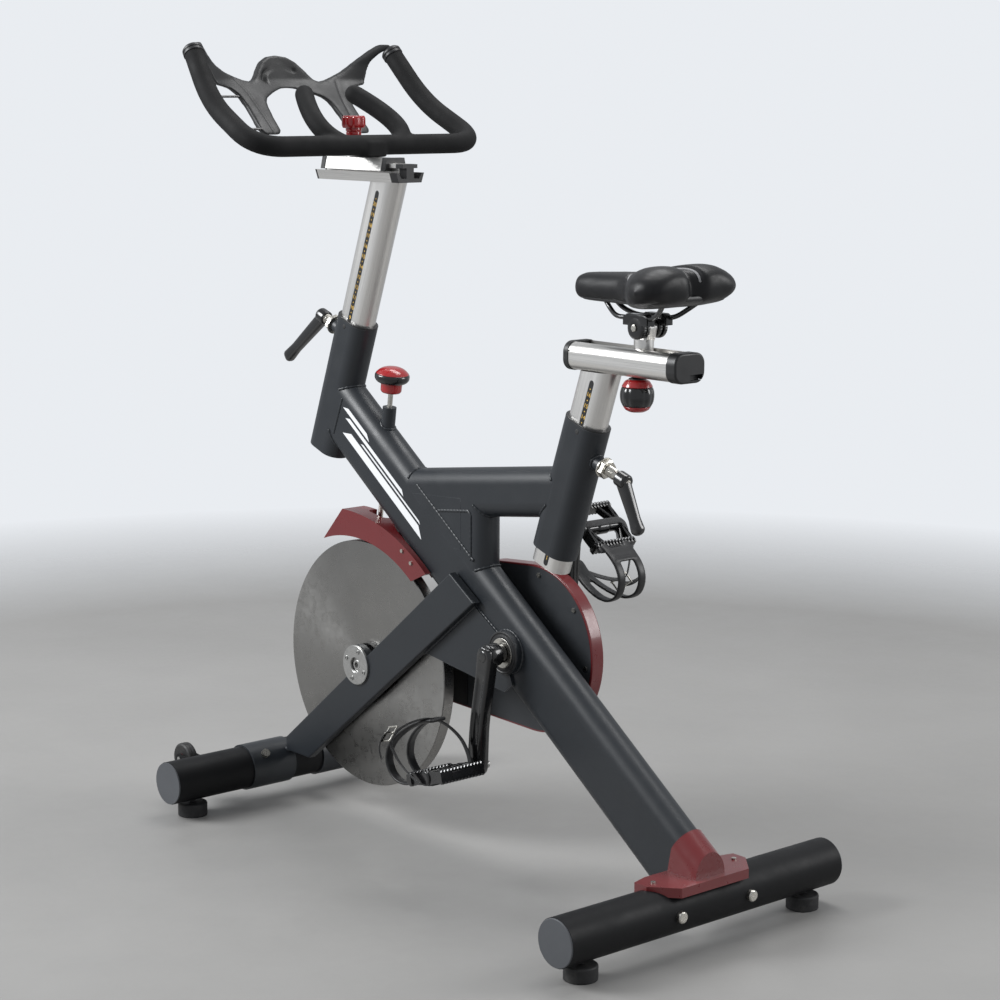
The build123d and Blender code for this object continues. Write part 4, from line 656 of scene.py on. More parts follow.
SADDLE_STATIONS = (
    # x, half width, underside, top
    (-125, 9, 896, 916),
    (-129, 17, 890, 922),
    (-138, 22, 887, 925),
    (-158, 24, 886, 927),
    (-185, 26, 886, 928.5),
    (-210, 28, 886, 930),
    (-232, 30, 886, 931),
    (-250, 36, 886, 933),
    (-265, 48, 885, 936),
    (-279, 62, 885, 939),
    (-293, 75, 886, 942),
    (-310, 86, 887, 944),
    (-327, 91, 889, 945),
    (-342, 89, 893, 943),
    (-353, 81, 898, 937),
    (-360, 66, 906, 928),
)
GROOVE_START = -215.0
GROOVE_END = -345.0
NOTCH_START = -318.0
RIM_HEIGHT = 905.0
SKIRT_TOP = 900.0
PAD_GROWTH = 7.0
SEAM_STEP = 0.0015


def saddle_shape():
    mesh = bmesh.new()
    rings = []
    for x, wide, low, high in SADDLE_STATIONS:
        rim = low + 0.42 * (high - low)
        ring = []
        for number in range(40):
            angle = 2 * math.pi * number / 40
            y = math.copysign(abs(math.cos(angle)) ** 0.72, math.cos(angle)) * wide
            lift = high - rim if math.sin(angle) > 0 else rim - low
            z = rim + math.copysign(abs(math.sin(angle)) ** 0.85, math.sin(angle)) * lift
            ring.append(place(x, y, z))
        rings.append(ring)
    loft(mesh, rings)
    return mesh


def shape_lobes(obj):
    """Draws the middle down into a groove and splits the rear into two lobes."""
    for vertex in obj.data.vertices:
        x = (vertex.co.x - CRANK_X) / MM
        y = vertex.co.y / MM
        z = vertex.co.z / MM
        ease = ramp((x - GROOVE_START) / (GROOVE_END - GROOVE_START))
        if z > RIM_HEIGHT:
            z -= (3.5 + 8.0 * ease) * ease * math.exp(-((y / 10.0) ** 2))
            z += 3.5 * ease * math.exp(-(((abs(y) - 45.0) / 24.0) ** 2))
        if x < NOTCH_START:
            x += 0.4 * (NOTCH_START - x) * math.exp(-((y / 11.0) ** 2))
        # the skirt hangs lower under the sitting bones
        if z < SKIRT_TOP and x < GROOVE_START:
            drop = math.exp(-(((x + 285) / 42.0) ** 2)) * min(1.0, (abs(y) / 60.0) ** 2)
            z -= 4.0 * drop
        vertex.co = place(x, y, z)
    obj.data.update()


def inflate(obj, cap, frames=20):
    """Blows the padding up with cloth, holding its underside, and caps how far it moves."""
    rest = [vertex.co.copy() for vertex in obj.data.vertices]
    held = obj.vertex_groups.new(name="held")
    held.add([v.index for v in obj.data.vertices if v.normal.z < -0.55], 1.0, "REPLACE")
    cloth = obj.modifiers.new("padding", "CLOTH")
    cloth.settings.vertex_group_mass = "held"
    cloth.settings.use_pressure = True
    cloth.settings.uniform_pressure_force = 4.0
    cloth.settings.effector_weights.gravity = 0.0
    scene = bpy.context.scene
    for frame_number in range(1, frames + 1):
        scene.frame_set(frame_number)
    bake(obj)
    obj.vertex_groups.clear()
    for vertex, start in zip(obj.data.vertices, rest):
        move = vertex.co - start
        if move.length > cap * MM:
            vertex.co = start + move.normalized() * cap * MM
    obj.data.update()
    scene.frame_set(1)


def on_surface(tree, x, y):
    """The point of the pad's skin at (x, y), looking at its middle from above and outside."""
    start = place(x, y * 1.9, 985.0)
    hit = tree.ray_cast(start, (place(x, y * 0.55, 895.0) - start).normalized())
    return hit[0]


def eased(path, passes=4):
    """The same path with small kinks smoothed away."""
    for _ in range(passes):
        inner = [(a + b * 2 + c) / 4 for a, b, c in zip(path, path[1:], path[2:])]
        path = [path[0]] + inner + [path[-1]]
    return path


def saddle():
    obj = piece("saddle_pad", saddle_shape(), "saddle_cover", "saddle", "saddle")
    melt(obj, 5.0, 6)
    shape_lobes(obj)
    inflate(obj, PAD_GROWTH)
    soften(obj, 3)
    fine = obj.modifiers.new("fine", "SUBSURF")
    fine.levels = 1
    bake(obj)
    tree = BVHTree.FromObject(obj, bpy.context.evaluated_depsgraph_get())
    for side in (1, -1):
        front = [(-372, 11), (-330, 10), (-285, 9), (-256, 9), (-243, 15), (-250, 28), (-262, 42),
                 (-270, 54), (-275, 64)]
        corners = [Vector((x * MM, side * y * MM, 0)) for x, y in front]
        flat = spaced(bent(corners, 0.02), SEAM_STEP)
        path = [on_surface(tree, point.x / MM, point.y / MM) for point in flat]
        path = [point for point in path if point]
        path = spaced(eased(path), SEAM_STEP)
        press(obj, path, 7.0, 2.6)
        fresh = BVHTree.FromPolygons([v.co for v in obj.data.vertices],
                                     [face.vertices for face in obj.data.polygons])
        welt = bmesh.new()
        settled = [fresh.find_nearest(point)[0] for point in path]
        sweep(welt, eased(settled), oval(1.9, 1.5, 10), round_ends=True)
        piece("saddle_seam_%s" % ("left" if side > 0 else "right"), welt, "seam_grey", "saddle")
    shell = bmesh.new()
    rings = []
    for x, wide, low, _ in SADDLE_STATIONS[2:-1]:
        ring = []
        for u, v in oval(wide * 0.78, 4.5, 28, 0.7):
            ring.append(place(x, 0, low + 5.0) + Vector((0, u, v)))
        rings.append(ring)
    loft(shell, rings)
    piece("saddle_shell", shell, "black_plastic", "saddle", levels=1)


def saddle_rails():
    mesh = bmesh.new()
    for side in (1, -1):
        corners = [(-186, 9, 890), (-200, 12, 878), (-220, 20, 870), (-294, 20, 870.5), (-314, 27, 884),
                   (-326, 34, 894)]
        path = bent([place(x, side * y, z) for x, y, z in corners], 0.012)
        sweep(mesh, spaced(path, 0.003), oval(3.5, 3.5, 14), round_ends=True)
    piece("saddle_wires", mesh, "black_gloss", "saddle", "saddle_rails")


def saddle_clamp():
    hub = place(-262, 0, 857)
    mesh = bmesh.new()
    for side in (1, -1):
        way = LEFT * side
        lathe(mesh, hub, way, [(4, 9), (15.5, 9), (15.5, 14), (12, 15), (12, 17), (16.5, 17.5),
                               (16.5, 23), (13.5, 25), (9, 25.5), (0, 25.5)], 0.5, 72, 36, 0.03)
        outline = [(-25, 3), (25, 3), (25, 14), (17, 19), (-17, 19), (-25, 14)]
        slab(mesh, outline, hub + LEFT * (side * 17.5 + 7.5) * MM, FORWARD, UP, 15, 1.5)
    piece("clamp_discs", mesh, "black_gloss", "saddle", "saddle_clamp")
    bolt = bmesh.new()
    lathe(bolt, hub, LEFT, [(0, -27), (5.2, -27), (5.2, -25.6), (3.4, -25.2), (3.4, 25.2),
                            (5.2, 25.6), (5.2, 27.6), (4.2, 28), (0, 28)], 0.3, 6)
    piece("clamp_bolt", bolt, "steel_bolt", "saddle")


# ---------------------------------------------------------------- handlebar

CORNER = (360.0, 219.5, 1091.0)
ELBOW = (490.0, 209.5, 1155.5)
HORN = (555.0, 196.0, 1232.0)


def handlebar():
    mesh = bmesh.new()
    half = [CORNER, ELBOW, HORN]
    corners = [place(x, y, z) for x, y, z in reversed(half)]
    corners += [place(x, -y, z) for x, y, z in half]
    sweep(mesh, spaced(bent(corners, 0.055, 12), 0.006), oval(16, 16, 28))
    for side in (1, -1):
        start = place(360, side * 46, 1091)
        pull = place(368, side * 104, 1109)
        tip = place(467, side * 49, 1168)
        path = []
        for step in range(25):
            part = step / 24
            path.append(start.lerp(pull, part).lerp(pull.lerp(tip, part), part))
        sweep(mesh, path, oval(15, 15, 28), round_ends=True)
    neck = [place(360, 0, z) for z in (1072.5, 1074, 1085, 1096)]
    sweep(mesh, neck, oval(18, 23, 32, 0.5), up=LEFT)
    obj = piece("bar_foam", mesh, "foam", "bar_carriage", "handlebar")
    melt(obj, 2.6, 7)


def horn_ends():
    run = (Vector(HORN) - Vector(ELBOW)).normalized()
    mesh = bmesh.new()
    for side in (1, -1):
        way = Vector((run.x, side * run.y, run.z))
        tip = place(HORN[0], side * HORN[1], HORN[2])
        lathe(mesh, tip, way, [(10, -5), (16.6, -5), (17, -4), (17, -1), (15.8, -0.4), (15.8, 1),
                               (17, 1.6), (16.8, 5), (14, 8.5), (8, 10.2), (0, 10.6)], 0.5, 40)
    piece("horn_ends", mesh, "black_plastic", "bar_carriage", "horn_caps")


CONSOLE_HALF = [
    (0, 1229), (18, 1226.5), (34, 1218), (47, 1204), (58, 1191), (68, 1187), (84, 1190), (101, 1196),
    (118, 1203), (134, 1213), (148, 1224), (166, 1239), (178, 1248), (189, 1248), (190, 1243),
    (175, 1233), (164, 1221), (156, 1206), (150, 1190), (144, 1182), (132, 1180), (118, 1176),
    (109, 1166), (105, 1148), (106, 1110), (101, 1105), (76, 1105), (69, 1111), (67, 1137), (64, 1153),
    (57, 1161), (44, 1167), (30, 1172), (15, 1176), (0, 1177),
]
CONSOLE_THICK = 15.0
CONSOLE_LEAN = ((1100, 488), (1150, 541), (1172, 562), (1190, 582), (1215, 592), (1250, 596))
WING_START = 100.0
WING_CURL = 0.0061


def lean_at(z):
    """How far forward the console's face stands at a height, in mm."""
    for (low, x_low), (high, x_high) in zip(CONSOLE_LEAN, CONSOLE_LEAN[1:]):
        if z <= high:
            return x_low + (x_high - x_low) * (z - low) / (high - low)
    return CONSOLE_LEAN[-1][1]


def console():
    mesh = bmesh.new()
    slab(mesh, mirrored(CONSOLE_HALF), place(0, 0, 0), LEFT, UP, CONSOLE_THICK, 0)
    obj = piece("console_shell", mesh, "console_black", "bar_carriage", "console")
    melt(obj, 2.4, 5)
    for vertex in obj.data.vertices:
        y, z = vertex.co.y / MM, vertex.co.z / MM
        bulge = -13.0 * math.exp(-((y / 52.0) ** 2)) * clamped((z - 1150) / 40.0)
        curl = WING_CURL * max(0.0, abs(y) - WING_START) ** 2
        vertex.co.x += (lean_at(z) - bulge - curl) * MM
    soften(obj, 4)
    bake(obj)
    slot = [place(lean_at(z) + 6, y, z) for y, z in
            ((38, 1190), (35, 1200), (26, 1207), (10, 1212), (-8, 1212), (-24, 1207))]
    press(obj, spaced(bent(slot, 0.008), 0.001), 7.0, 7.0)
    for side in (1, -1):
        line = [place(lean_at(z), side * y, z) for y, z in
                ((104, 1196), (98, 1188), (90, 1168), (86, 1140), (84, 1108))]
        press(obj, spaced(bent(line, 0.01), 0.001), 3.0, 1.4)


# ---------------------------------------------------------------- knobs and levers


def turned(name, at, axis, looks, body, profile, stands_for=(), **how):
    mesh = bmesh.new()
    lathe(mesh, at, axis, profile, **how)
    return piece(name, mesh, looks, body, *stands_for)


def brake_knob():
    at = place(307, 0, 747)
    way = direction(98)
    turned("brake_knob_dome", at, way, "knob_red", "brake_knob",
           [(0, 2), (12, 1), (20, -2.4), (26.2, -8.5), (25, -10), (0, -10)], ["brake_knob"], soft=3.5)
    turned("brake_knob_band", at, way, "black_gloss", "brake_knob",
           [(0, -8.6), (26, -8.6), (27.6, -11.5), (27.4, -17.5), (24, -22), (17.5, -25), (0, -25)],
           soft=2.0)
    turned("brake_knob_skirt", at, way, "knob_red", "brake_knob",
           [(4.2, -24), (18.0, -24), (16.8, -26.5), (16.6, -36.5), (14.5, -39.5), (4.2, -39.5)],
           soft=1.2)


def ball_knob():
    at = place(-243, 0, 760)
    turned("ball_knob_neck", at, UP, "black_plastic", "seat_knob",
           [(5, 30), (8, 30), (8, 25), (12, 24), (12.5, 20), (5, 20)], ["ball_knob"], soft=0.8)
    turned("ball_knob_top", at, UP, "knob_red", "seat_knob",
           [(5, 22.5), (13, 22.5), (17.5, 20), (21.8, 13), (21.2, 12), (5, 12)], soft=1.2)
    turned("ball_knob_grip", at, UP, "black_gloss", "seat_knob",
           [(5, 12.6), (21.6, 12.6), (24, 6.5), (24.6, 0), (23.6, -8), (19.6, -16), (5, -16)],
           soft=3.0, count=96, lobes=12, lobe_depth=0.035)
    turned("ball_knob_foot", at, UP, "knob_red", "seat_knob",
           [(0, -15.4), (19.8, -15.4), (16.5, -20), (11, -23), (0, -24)], soft=1.2)


def star_knob():
    at = place(404, 0, 1102)
    turned("star_knob_head", at, UP, "knob_red", "bar_knob",
           [(0, 33.5), (17, 33.5), (18.8, 30), (19, 19), (17.6, 14.5), (10, 14), (0, 14)], ["star_knob"],
           soft=1.4, count=96, lobes=8, lobe_depth=0.14)
    turned("star_knob_collar", at, UP, "knob_red", "bar_knob",
           [(0, 15), (12.6, 15), (12.6, 10), (11, 9), (12, 8), (12, 1), (10.5, 0), (0, 0)],
           soft=0.6)
    turned("star_knob_screw", at, UP, "machined_steel", "bar_knob",
           [(0, 1), (5, 1), (5, -37), (0, -37)], soft=0.4)


LEVER_TUBE = 51.5


def clamp_lever(name, body, at, rise, hub, end):
    way = direction(rise)
    metal = bmesh.new()
    lathe(metal, at, way, [(5, LEVER_TUBE), (15.5, LEVER_TUBE), (15.5, LEVER_TUBE + 2.2),
                           (5, LEVER_TUBE + 2.2)], 0.4, 40)
    lathe(metal, at, way, [(5, LEVER_TUBE + 1.8), (13.4, LEVER_TUBE + 1.8), (14.6, LEVER_TUBE + 3),
                           (14.6, LEVER_TUBE + 10), (13.4, LEVER_TUBE + 11),
                           (5, LEVER_TUBE + 11)], 0.2, 6)
    thread = [(4, LEVER_TUBE + 10)]
    for turn in range(9):
        thread += [(8.2, LEVER_TUBE + 11.5 + turn * 1.6), (7.2, LEVER_TUBE + 12.3 + turn * 1.6)]
    lathe(metal, at, way, thread + [(4, hub + 1)], 0.1, 32)
    lathe(metal, at, way, [(0, 38.5), (5, 38.5), (5, LEVER_TUBE + 4), (0, LEVER_TUBE + 4)], 0.2, 24)
    piece(name + "_screw", metal, "steel_bolt", body, name)
    grip = bmesh.new()
    lathe(grip, at, way, [(0, hub), (10.2, hub), (11.5, hub + 1.5), (11.5, hub + 17),
                          (9.5, hub + 20), (0, hub + 20)], 1.2, 40)
    start = at + way * (hub + 9) * MM
    path = spaced([start, end], 0.004)
    sweep(grip, path, oval(10.6, 8.6, 24, 0.62), up=LEFT,
          grow=lambda part: 1 - 0.19 * min(1.0, part / 0.75) + 0.13 * max(0.0, part - 0.8) / 0.2,
          round_ends=True)
    piece(name + "_handle", grip, "black_gloss", body)
    turned(name + "_socket", at, way, "steel_bolt", body,
           [(0, hub + 18.6), (5.2, hub + 18.6), (5.2, hub + 20.8), (4.6, hub + 21.4),
            (2.7, hub + 21.4), (2.7, hub + 19.6), (0, hub + 19.6)], soft=0.3)


def levers():
    head = HEAD_TOP - direction(BAR_POST_RISE) * 31 * MM
    clamp_lever("head_lever", "head_lever", head, 20, 76, place(583, 0, 742))
    seat = SEAT_TOP - direction(SEAT_POST_RISE) * 46 * MM
    clamp_lever("seat_lever", "seat_lever", seat, 199.2, 84, place(-248, 0, 570))


# ---------------------------------------------------------------- cranks

CRANK_LENGTH = 170.0
CRANK_SWING = 3.7
CRANK_BOW = 9.0
GROOVE_DEPTH = 2.4


def crank(name, body, y_face, y_shell, way, node):
    """Forged arm: round ends, a waist, a long groove outside, and a boss in to the frame."""
    outward = math.copysign(1.0, y_face)
    across = way.cross(LEFT)
    hub = place(0, y_face, CRANK_HEIGHT)
    mesh = bmesh.new()
    rings = []
    for number in range(61):
        at = -15 + (CRANK_LENGTH + 28) * number / 60
        wide = 15.6 - 1.6 * math.sin(math.pi * clamped(at / CRANK_LENGTH))
        if at < 0:
            wide = math.sqrt(max(1.0, 15 * 15 - at * at))
        if at > CRANK_LENGTH:
            wide = math.sqrt(max(1.0, 14.5 * 14.5 - (at - CRANK_LENGTH) ** 2))
        groove = GROOVE_DEPTH * ramp(min(at - 26, 138 - at) / 14)
        bow = -CRANK_BOW * ramp(at / (0.7 * CRANK_LENGTH)) * (1 if outward > 0 else 0.3)
        face = ((-1, 4.2), (-0.93, 1.4), (-0.74, 0.2), (-0.5, 0), (-0.34, groove), (0, groove * 1.1),
                (0.34, groove), (0.5, 0), (0.74, 0.2), (0.93, 1.4), (1, 4.2),
                (1, 16.5), (0.9, 19.2), (0.7, 20), (-0.7, 20), (-0.9, 19.2), (-1, 16.5))
        rings.append([hub + way * at * MM + across * u * wide * MM - LEFT * outward * (v + bow) * MM
                      for u, v in face])
    loft(mesh, rings)
    piece(name + "_arm", mesh, "black_gloss", body, node, levels=1)
    boss = bmesh.new()
    reach = abs(y_face - y_shell)
    lathe(boss, hub, -LEFT * outward, [(0, 8), (16.5, 8), (17.3, 14), (17.3, reach - 9),
                                      (14.5, reach - 7), (14.5, reach), (0, reach)], 1.2)
    lathe(boss, hub, -LEFT * outward, [(0, -1.2), (7.5, -0.8), (9.6, 0.6), (10, 3), (0, 3)], 0.8)
    piece(name + "_boss", boss, "black_gloss", body)


def cranks():
    crank("crank_left", "crank", 76.0, 39.0, direction(CRANK_SWING - 90), "crank_left")
    crank("crank_right", "crank", -97.5, -73.0, direction(CRANK_SWING + 90), "crank_right")
    shell = place(0, 36, CRANK_HEIGHT)
    turned("shell_ring", shell, LEFT, "black_plastic", "frame",
           [(21.6, -1), (32.4, -1), (32.4, 0.6), (30, 1.2), (29, 0.4), (27.5, 0.4), (26.5, 1.8),
            (24.2, 2.2), (21.6, 2.2)], soft=0.3, count=72)
    turned("shell_circlip", shell, LEFT, "steel_bolt", "frame",
           [(19.8, 1.4), (22.6, 1.4), (22.6, 2.6), (21.2, 2.9), (19.8, 2.6)], soft=0.2, count=72)
    turned("shell_seal", shell, LEFT, "rubber", "frame",
           [(8.8, 1.4), (20, 1.4), (20, 2.2), (16, 2.4), (8.8, 2.2)], soft=0.2, count=48)


# ---------------------------------------------------------------- pedals

PEDAL_HALF_WIDE = 41.0


class PedalFrame:
    """Places points on a pedal: towards the toe, outwards from the crank, and up out of the tread."""

    def __init__(self, centre, tilt, outward):
        self.toe = direction(tilt)
        self.up = direction(tilt + 90)
        self.centre = centre
        self.out = LEFT * outward

    def at(self, toe, out, up):
        return self.centre + (self.toe * toe + self.out * out + self.up * up) * MM


def tread_bar(mesh, spot, toe):
    """One edge of the pedal with a row of teeth above and below."""
    rings = []
    for number in range(53):
        out = -PEDAL_HALF_WIDE + 2 * PEDAL_HALF_WIDE * number / 52
        tooth = 10.6 if number % 4 in (1, 2) else 8.2
        ring = [(-4.5, -tooth + 1), (-3, -tooth), (3, -tooth), (4.5, -tooth + 1),
                (5.2, 0), (4.5, tooth - 1), (3, tooth), (-3, tooth), (-4.5, tooth - 1)]
        rings.append([spot.at(toe + u, out, v) for u, v in ring])
    loft(mesh, rings)


def pedal(name, body, spot, node):
    mesh = bmesh.new()
    for toe in (-36.8, 36.8):
        tread_bar(mesh, spot, toe)
    lathe(mesh, spot.centre, spot.out, [(6.2, -41), (10.5, -41), (10.5, -33), (9, -31), (9, -12),
                                        (10.8, -9), (10.8, 9), (9, 12), (9, 31), (11, 34),
                                        (11, 40), (8, 41), (0, 41)], 0.8, 36)
    half = [(-41, -6), (-36, -9.5), (-14, -8), (-8, -10.6), (8, -10.6), (14, -8), (36, -9.5), (41, -6)]
    outline = half + [(u, -v) for u, v in reversed(half)]
    for out in (-38.0, 31.0):
        edge = spot.at(0, out + (7 if spot.out.y > 0 else 0), 0)
        slab(mesh, outline, edge, spot.toe, spot.up, 7, 1.4)
    for side in (-1, 1):
        for out in (-20, 20):
            web = [spot.at(side * 6, out * 1.6, 0), spot.at(side * 36, out * 0.8, 0)]
            sweep(mesh, spaced(web, 0.004), oval(3.2, 6.0, 16, 0.6), up=spot.up, round_ends=True)
    piece(name + "_body", mesh, "black_gloss", body, node)
    glass = bmesh.new()
    for toe in (-42, 39.6):
        slab(glass, [(-20, -5.4), (20, -5.4), (20, 5.4), (-20, 5.4)],
             spot.at(toe + (0 if spot.out.y > 0 else 2.4), 0, 0), spot.out, spot.up, 2.4, 0.8)
    piece(name + "_reflector", glass, "reflector", body)


CAGE_PATH = (
    # toe, up, half the width between the two sides
    (40, -8, 22), (60, -9, 21), (82, -8, 21), (99, 0, 21), (109, 14, 21), (112, 30, 20.5),
    (104, 48, 19.5), (86, 62, 17), (58, 74, 13), (28, 81, 8), (4, 80, 8),
)
CAGE_SHIFT = -5.0


def toe_cage(name, body, spot, node):
    """Moulded loop: a foot plate, two rails round the shoe and a slotted bridge over the top."""
    mesh = bmesh.new()
    for side in (-1, 1):
        path = [spot.at(toe, CAGE_SHIFT + side * half, up) for toe, up, half in CAGE_PATH]
        path = spaced(bent(path, 0.02, 5), 0.0025)
        sweep(mesh, path, oval(7.6, 2.4, 16, 0.6), up=spot.up, round_ends=True)
    plates = ((26, 80.5, 11, 9), (6, 79.5, 10, 8), (45, -5, 33, 7), (56, -9, 22, 9), (68, -9.5, 21, 8))
    for toe, up, half, long in plates:
        path = spaced([spot.at(toe, CAGE_SHIFT - half, up), spot.at(toe, CAGE_SHIFT + half, up)], 0.004)
        sweep(mesh, path, oval(long, 2.4, 16, 0.6), up=spot.up, round_ends=True)
    path = spaced([spot.at(40, CAGE_SHIFT, 79), spot.at(2, CAGE_SHIFT, 80.5)], 0.004)
    sweep(mesh, path, oval(9.0, 2.0, 16, 0.6), up=spot.up, round_ends=True)
    obj = piece(name + "_band", mesh, "black_plastic", body, node)
    melt(obj, 1.6, 3)


STRAP_PATH = (
    # toe, out, up
    (0, 30, -12), (0, -30, -12.5), (-3, -43, -8), (-5, -46, 14), (-3, -40, 44), (4, -22, 70),
    (12, 0, 85), (30, 22, 84), (50, 38, 74), (62, 46, 58), (44, 48, 26), (16, 46, 0), (4, 42, -9),
)


def toe_strap(name, body, spot):
    corners = [spot.at(*point) for point in STRAP_PATH]
    corners.append(corners[0])
    path = spaced(bent(corners, 0.016, 5), 0.003)[:-1]
    mesh = bmesh.new()
    sweep(mesh, path, oval(6.0, 0.9, 12, 0.5), up=spot.up, closed=True)
    piece(name + "_webbing", mesh, "webbing", body)
    steel = bmesh.new()
    for toe, shift in ((66, 0), (50, -2)):
        ends = [spot.at(toe, 38 + shift, 80), spot.at(toe, 56 + shift, 62)]
        sweep(steel, spaced(ends, 0.003), oval(1.7, 1.3, 10), up=spot.up, round_ends=True)
    for out, up in ((38, 80), (47, 72.5), (56, 62)):
        ends = [spot.at(48, out, up), spot.at(68, out, up)]
        sweep(steel, spaced(ends, 0.003), oval(1.5, 1.5, 10), up=spot.up, round_ends=True)
    piece(name + "_buckle", steel, "steel_bolt", body)
    tail = [spot.at(58, 47, 76), spot.at(66, 56, 68), spot.at(72, 60, 52), spot.at(70, 60, 38)]
    mesh = bmesh.new()
    sweep(mesh, spaced(bent(tail, 0.01), 0.003), oval(5.4, 0.8, 12, 0.5), up=spot.up,
          round_ends=True)
    piece(name + "_tail", mesh, "webbing", body)


def pedals():
    for side, swing, y, tilt, outward in (
        ("left", CRANK_SWING - 90, 137.0, -15.0, 1.0),
        ("right", CRANK_SWING + 90, -150.5, 220.0, -1.0),
    ):
        centre = place(0, y, CRANK_HEIGHT) + direction(swing) * CRANK_LENGTH * MM
        spot = PedalFrame(centre, tilt, outward)
        body = "pedal_" + side
        pedal(body, body, spot, body)
        toe_cage("toe_cage_" + side, body, spot, "toe_cage_" + side)
        toe_strap("toe_strap_" + side, body, spot)


# ---------------------------------------------------------------- printed stripes and scales

STRIPES = (
    # start, end, low, high, slant
    (246, 492, -12, 1, 18),
    (262, 446, 5, 8, 5),
    (318, 500, 12, 18, 9),
    (432, 515, 22, 29, 12),
)


def stripes():
    origin = place(0, MAIN_TUBE_HALF, MAIN_TUBE_HEIGHT)
    mesh = bmesh.new()
    for start, end, low, high, slant in STRIPES:
        outline = [(start, low), (end, low), (end - slant, high), (start + slant, high)]
        slab(mesh, outline, origin - LEFT * 0.1 * MM, MAIN_ALONG, MAIN_OVER, -0.45, 0)
    piece("tube_stripes", mesh, "stripe_white", "frame")


SCALE_PITCH = 17.5
STRIP_HALF = 4.6
POST_HALF = 20.0


def scale(name, body, foot, rise, across, low, high):
    """A black strip on the post's left side with numbers and ticks."""
    along = direction(rise)
    over = direction(rise - 90)
    origin = foot + over * across * MM + LEFT * POST_HALF * MM
    strip = bmesh.new()
    ring = []
    for end, turn in ((high, 0), (low, 180)):
        for step in range(9):
            angle = math.radians(turn + 180 * step / 8)
            ring.append((STRIP_HALF * math.cos(angle), end + STRIP_HALF * math.sin(angle)))
    slab(strip, ring, origin - LEFT * 0.2 * MM, over, along, -0.215, 0)
    piece(name + "_strip", strip, "scale_black", body)
    marks = bmesh.new()
    heights = [low + 8 + SCALE_PITCH * number for number in range(int((high - low) / SCALE_PITCH))]
    for height in heights:
        tick = [(-0.9, height + 8), (0.9, height + 8), (0.9, height + 9.6), (-0.9, height + 9.6)]
        slab(marks, tick, origin, over, along, -0.035, 0)
    piece(name + "_ticks", marks, "scale_yellow", body)
    for number, height in enumerate(heights):
        text = bpy.data.curves.new(name + "_digit", "FONT")
        text.body = str(number + 1)
        text.size = 9.0 * MM
        text.align_x = "CENTER"
        text.align_y = "CENTER"
        text.extrude = 0.008 * MM
        digit = new_object("%s_digit_%d" % (name, number), text)
        at = origin + along * height * MM + LEFT * 0.03 * MM
        turn = Matrix((-over, along, LEFT)).transposed().to_4x4()
        digit.matrix_world = Matrix.Translation(at) @ turn
        text.materials.append(LOOKS["scale_yellow"])
        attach(digit, body)


def scales():
    scale("bar_scale", "handlebar_post", HEAD_TOP, BAR_POST_RISE, -2.5, -140, 218)
    scale("seat_scale", "seat_post", SEAT_TOP, SEAT_POST_RISE, -6.5, -222, 66)


# ---------------------------------------------------------------- smaller fittings


def slider_caps():
    half = [(0, 1064.6), (14.6, 1064.6), (14.6, 1057.4), (7.6, 1057.4), (7.6, 1052.4), (22, 1052.4),
            (17.8, 1072.8), (0, 1072.8)]
    for name, x in (("rear", 298.0), ("front", 452.0)):
        mesh = bmesh.new()
        slab(mesh, mirrored(half), place(x, 0, 0), LEFT, UP, 11, 0.7)
        piece("slider_cap_" + name, mesh, "black_plastic", "bar_carriage")


def transport_wheels():
    for side, sign in (("left", 1), ("right", -1)):
        centre = place(637, sign * 183, 77)
        body = "wheel_" + side
        turned(body + "_tyre", centre, LEFT, "tyre", body,
               [(15, -8.2), (22, -8.8), (25, -6.5), (25.5, -2), (24.9, -1.2), (24.9, 1.2), (25.5, 2),
                (25, 6.5), (22, 8.8), (15, 8.2)], ["transport_" + body], soft=1.0, count=64)
        turned(body + "_hub", centre, LEFT, "knob_red", body,
               [(4.1, -8.6), (7.5, -8.8), (8.5, -7), (13, -6.8), (15.6, -8.4), (15.6, 8.4),
                (13, 6.8), (8.5, 7), (7.5, 8.8), (4.1, 8.6)], soft=0.6, count=48)


GUSSET_LOW = (112.0, 489.0)
GUSSET_HIGH = (222.0, 565.0)
SHORTEST_BEAD = 0.018
BEAD_STEP = 0.0016


def bead(mesh, line, section, up=UP):
    """A weld bead along a line, swelling a little with each ripple."""
    path = spaced(line, BEAD_STEP)
    count = len(path) - 1
    sweep(mesh, path, section, up=up, round_ends=True,
          grow=lambda part: 1.0 + 0.11 * math.sin(part * count * 1.35))


def weld_beads():
    """A rippled bead along each inner corner where the frame's steel parts meet."""
    source = frame["nodes"]["main_frame"].data
    mesh = bmesh.new()
    mesh.from_mesh(source)
    bmesh.ops.remove_doubles(mesh, verts=mesh.verts, dist=0.00002)
    corners = set()
    for edge in mesh.edges:
        if len(edge.link_faces) != 2:
            continue
        first, second = edge.link_faces
        try:
            fold = edge.calc_face_angle_signed()
        except ValueError:
            continue
        if fold < math.radians(-20) and abs(first.normal.dot(second.normal)) < 0.95:
            spot = (edge.verts[0].co + edge.verts[1].co) / 2
            outward = (first.normal + second.normal).normalized()
            under_plate = GUSSET_LOW[0] < (spot.x - CRANK_X) / MM < GUSSET_HIGH[0] and (
                GUSSET_LOW[1] < spot.z / MM < GUSSET_HIGH[1])
            if not under_plate and visible_outside(mesh, spot, outward):
                corners.add(edge)
    beads = bmesh.new()
    while corners:
        chain = grow_chain(corners)
        length = sum((b - a).length for a, b in zip(chain, chain[1:]))
        if length >= SHORTEST_BEAD:
            bead(beads, chain, oval(2.3, 2.3, 10))
    mesh.free()
    piece("weld_beads", beads, "frame_paint", "frame")


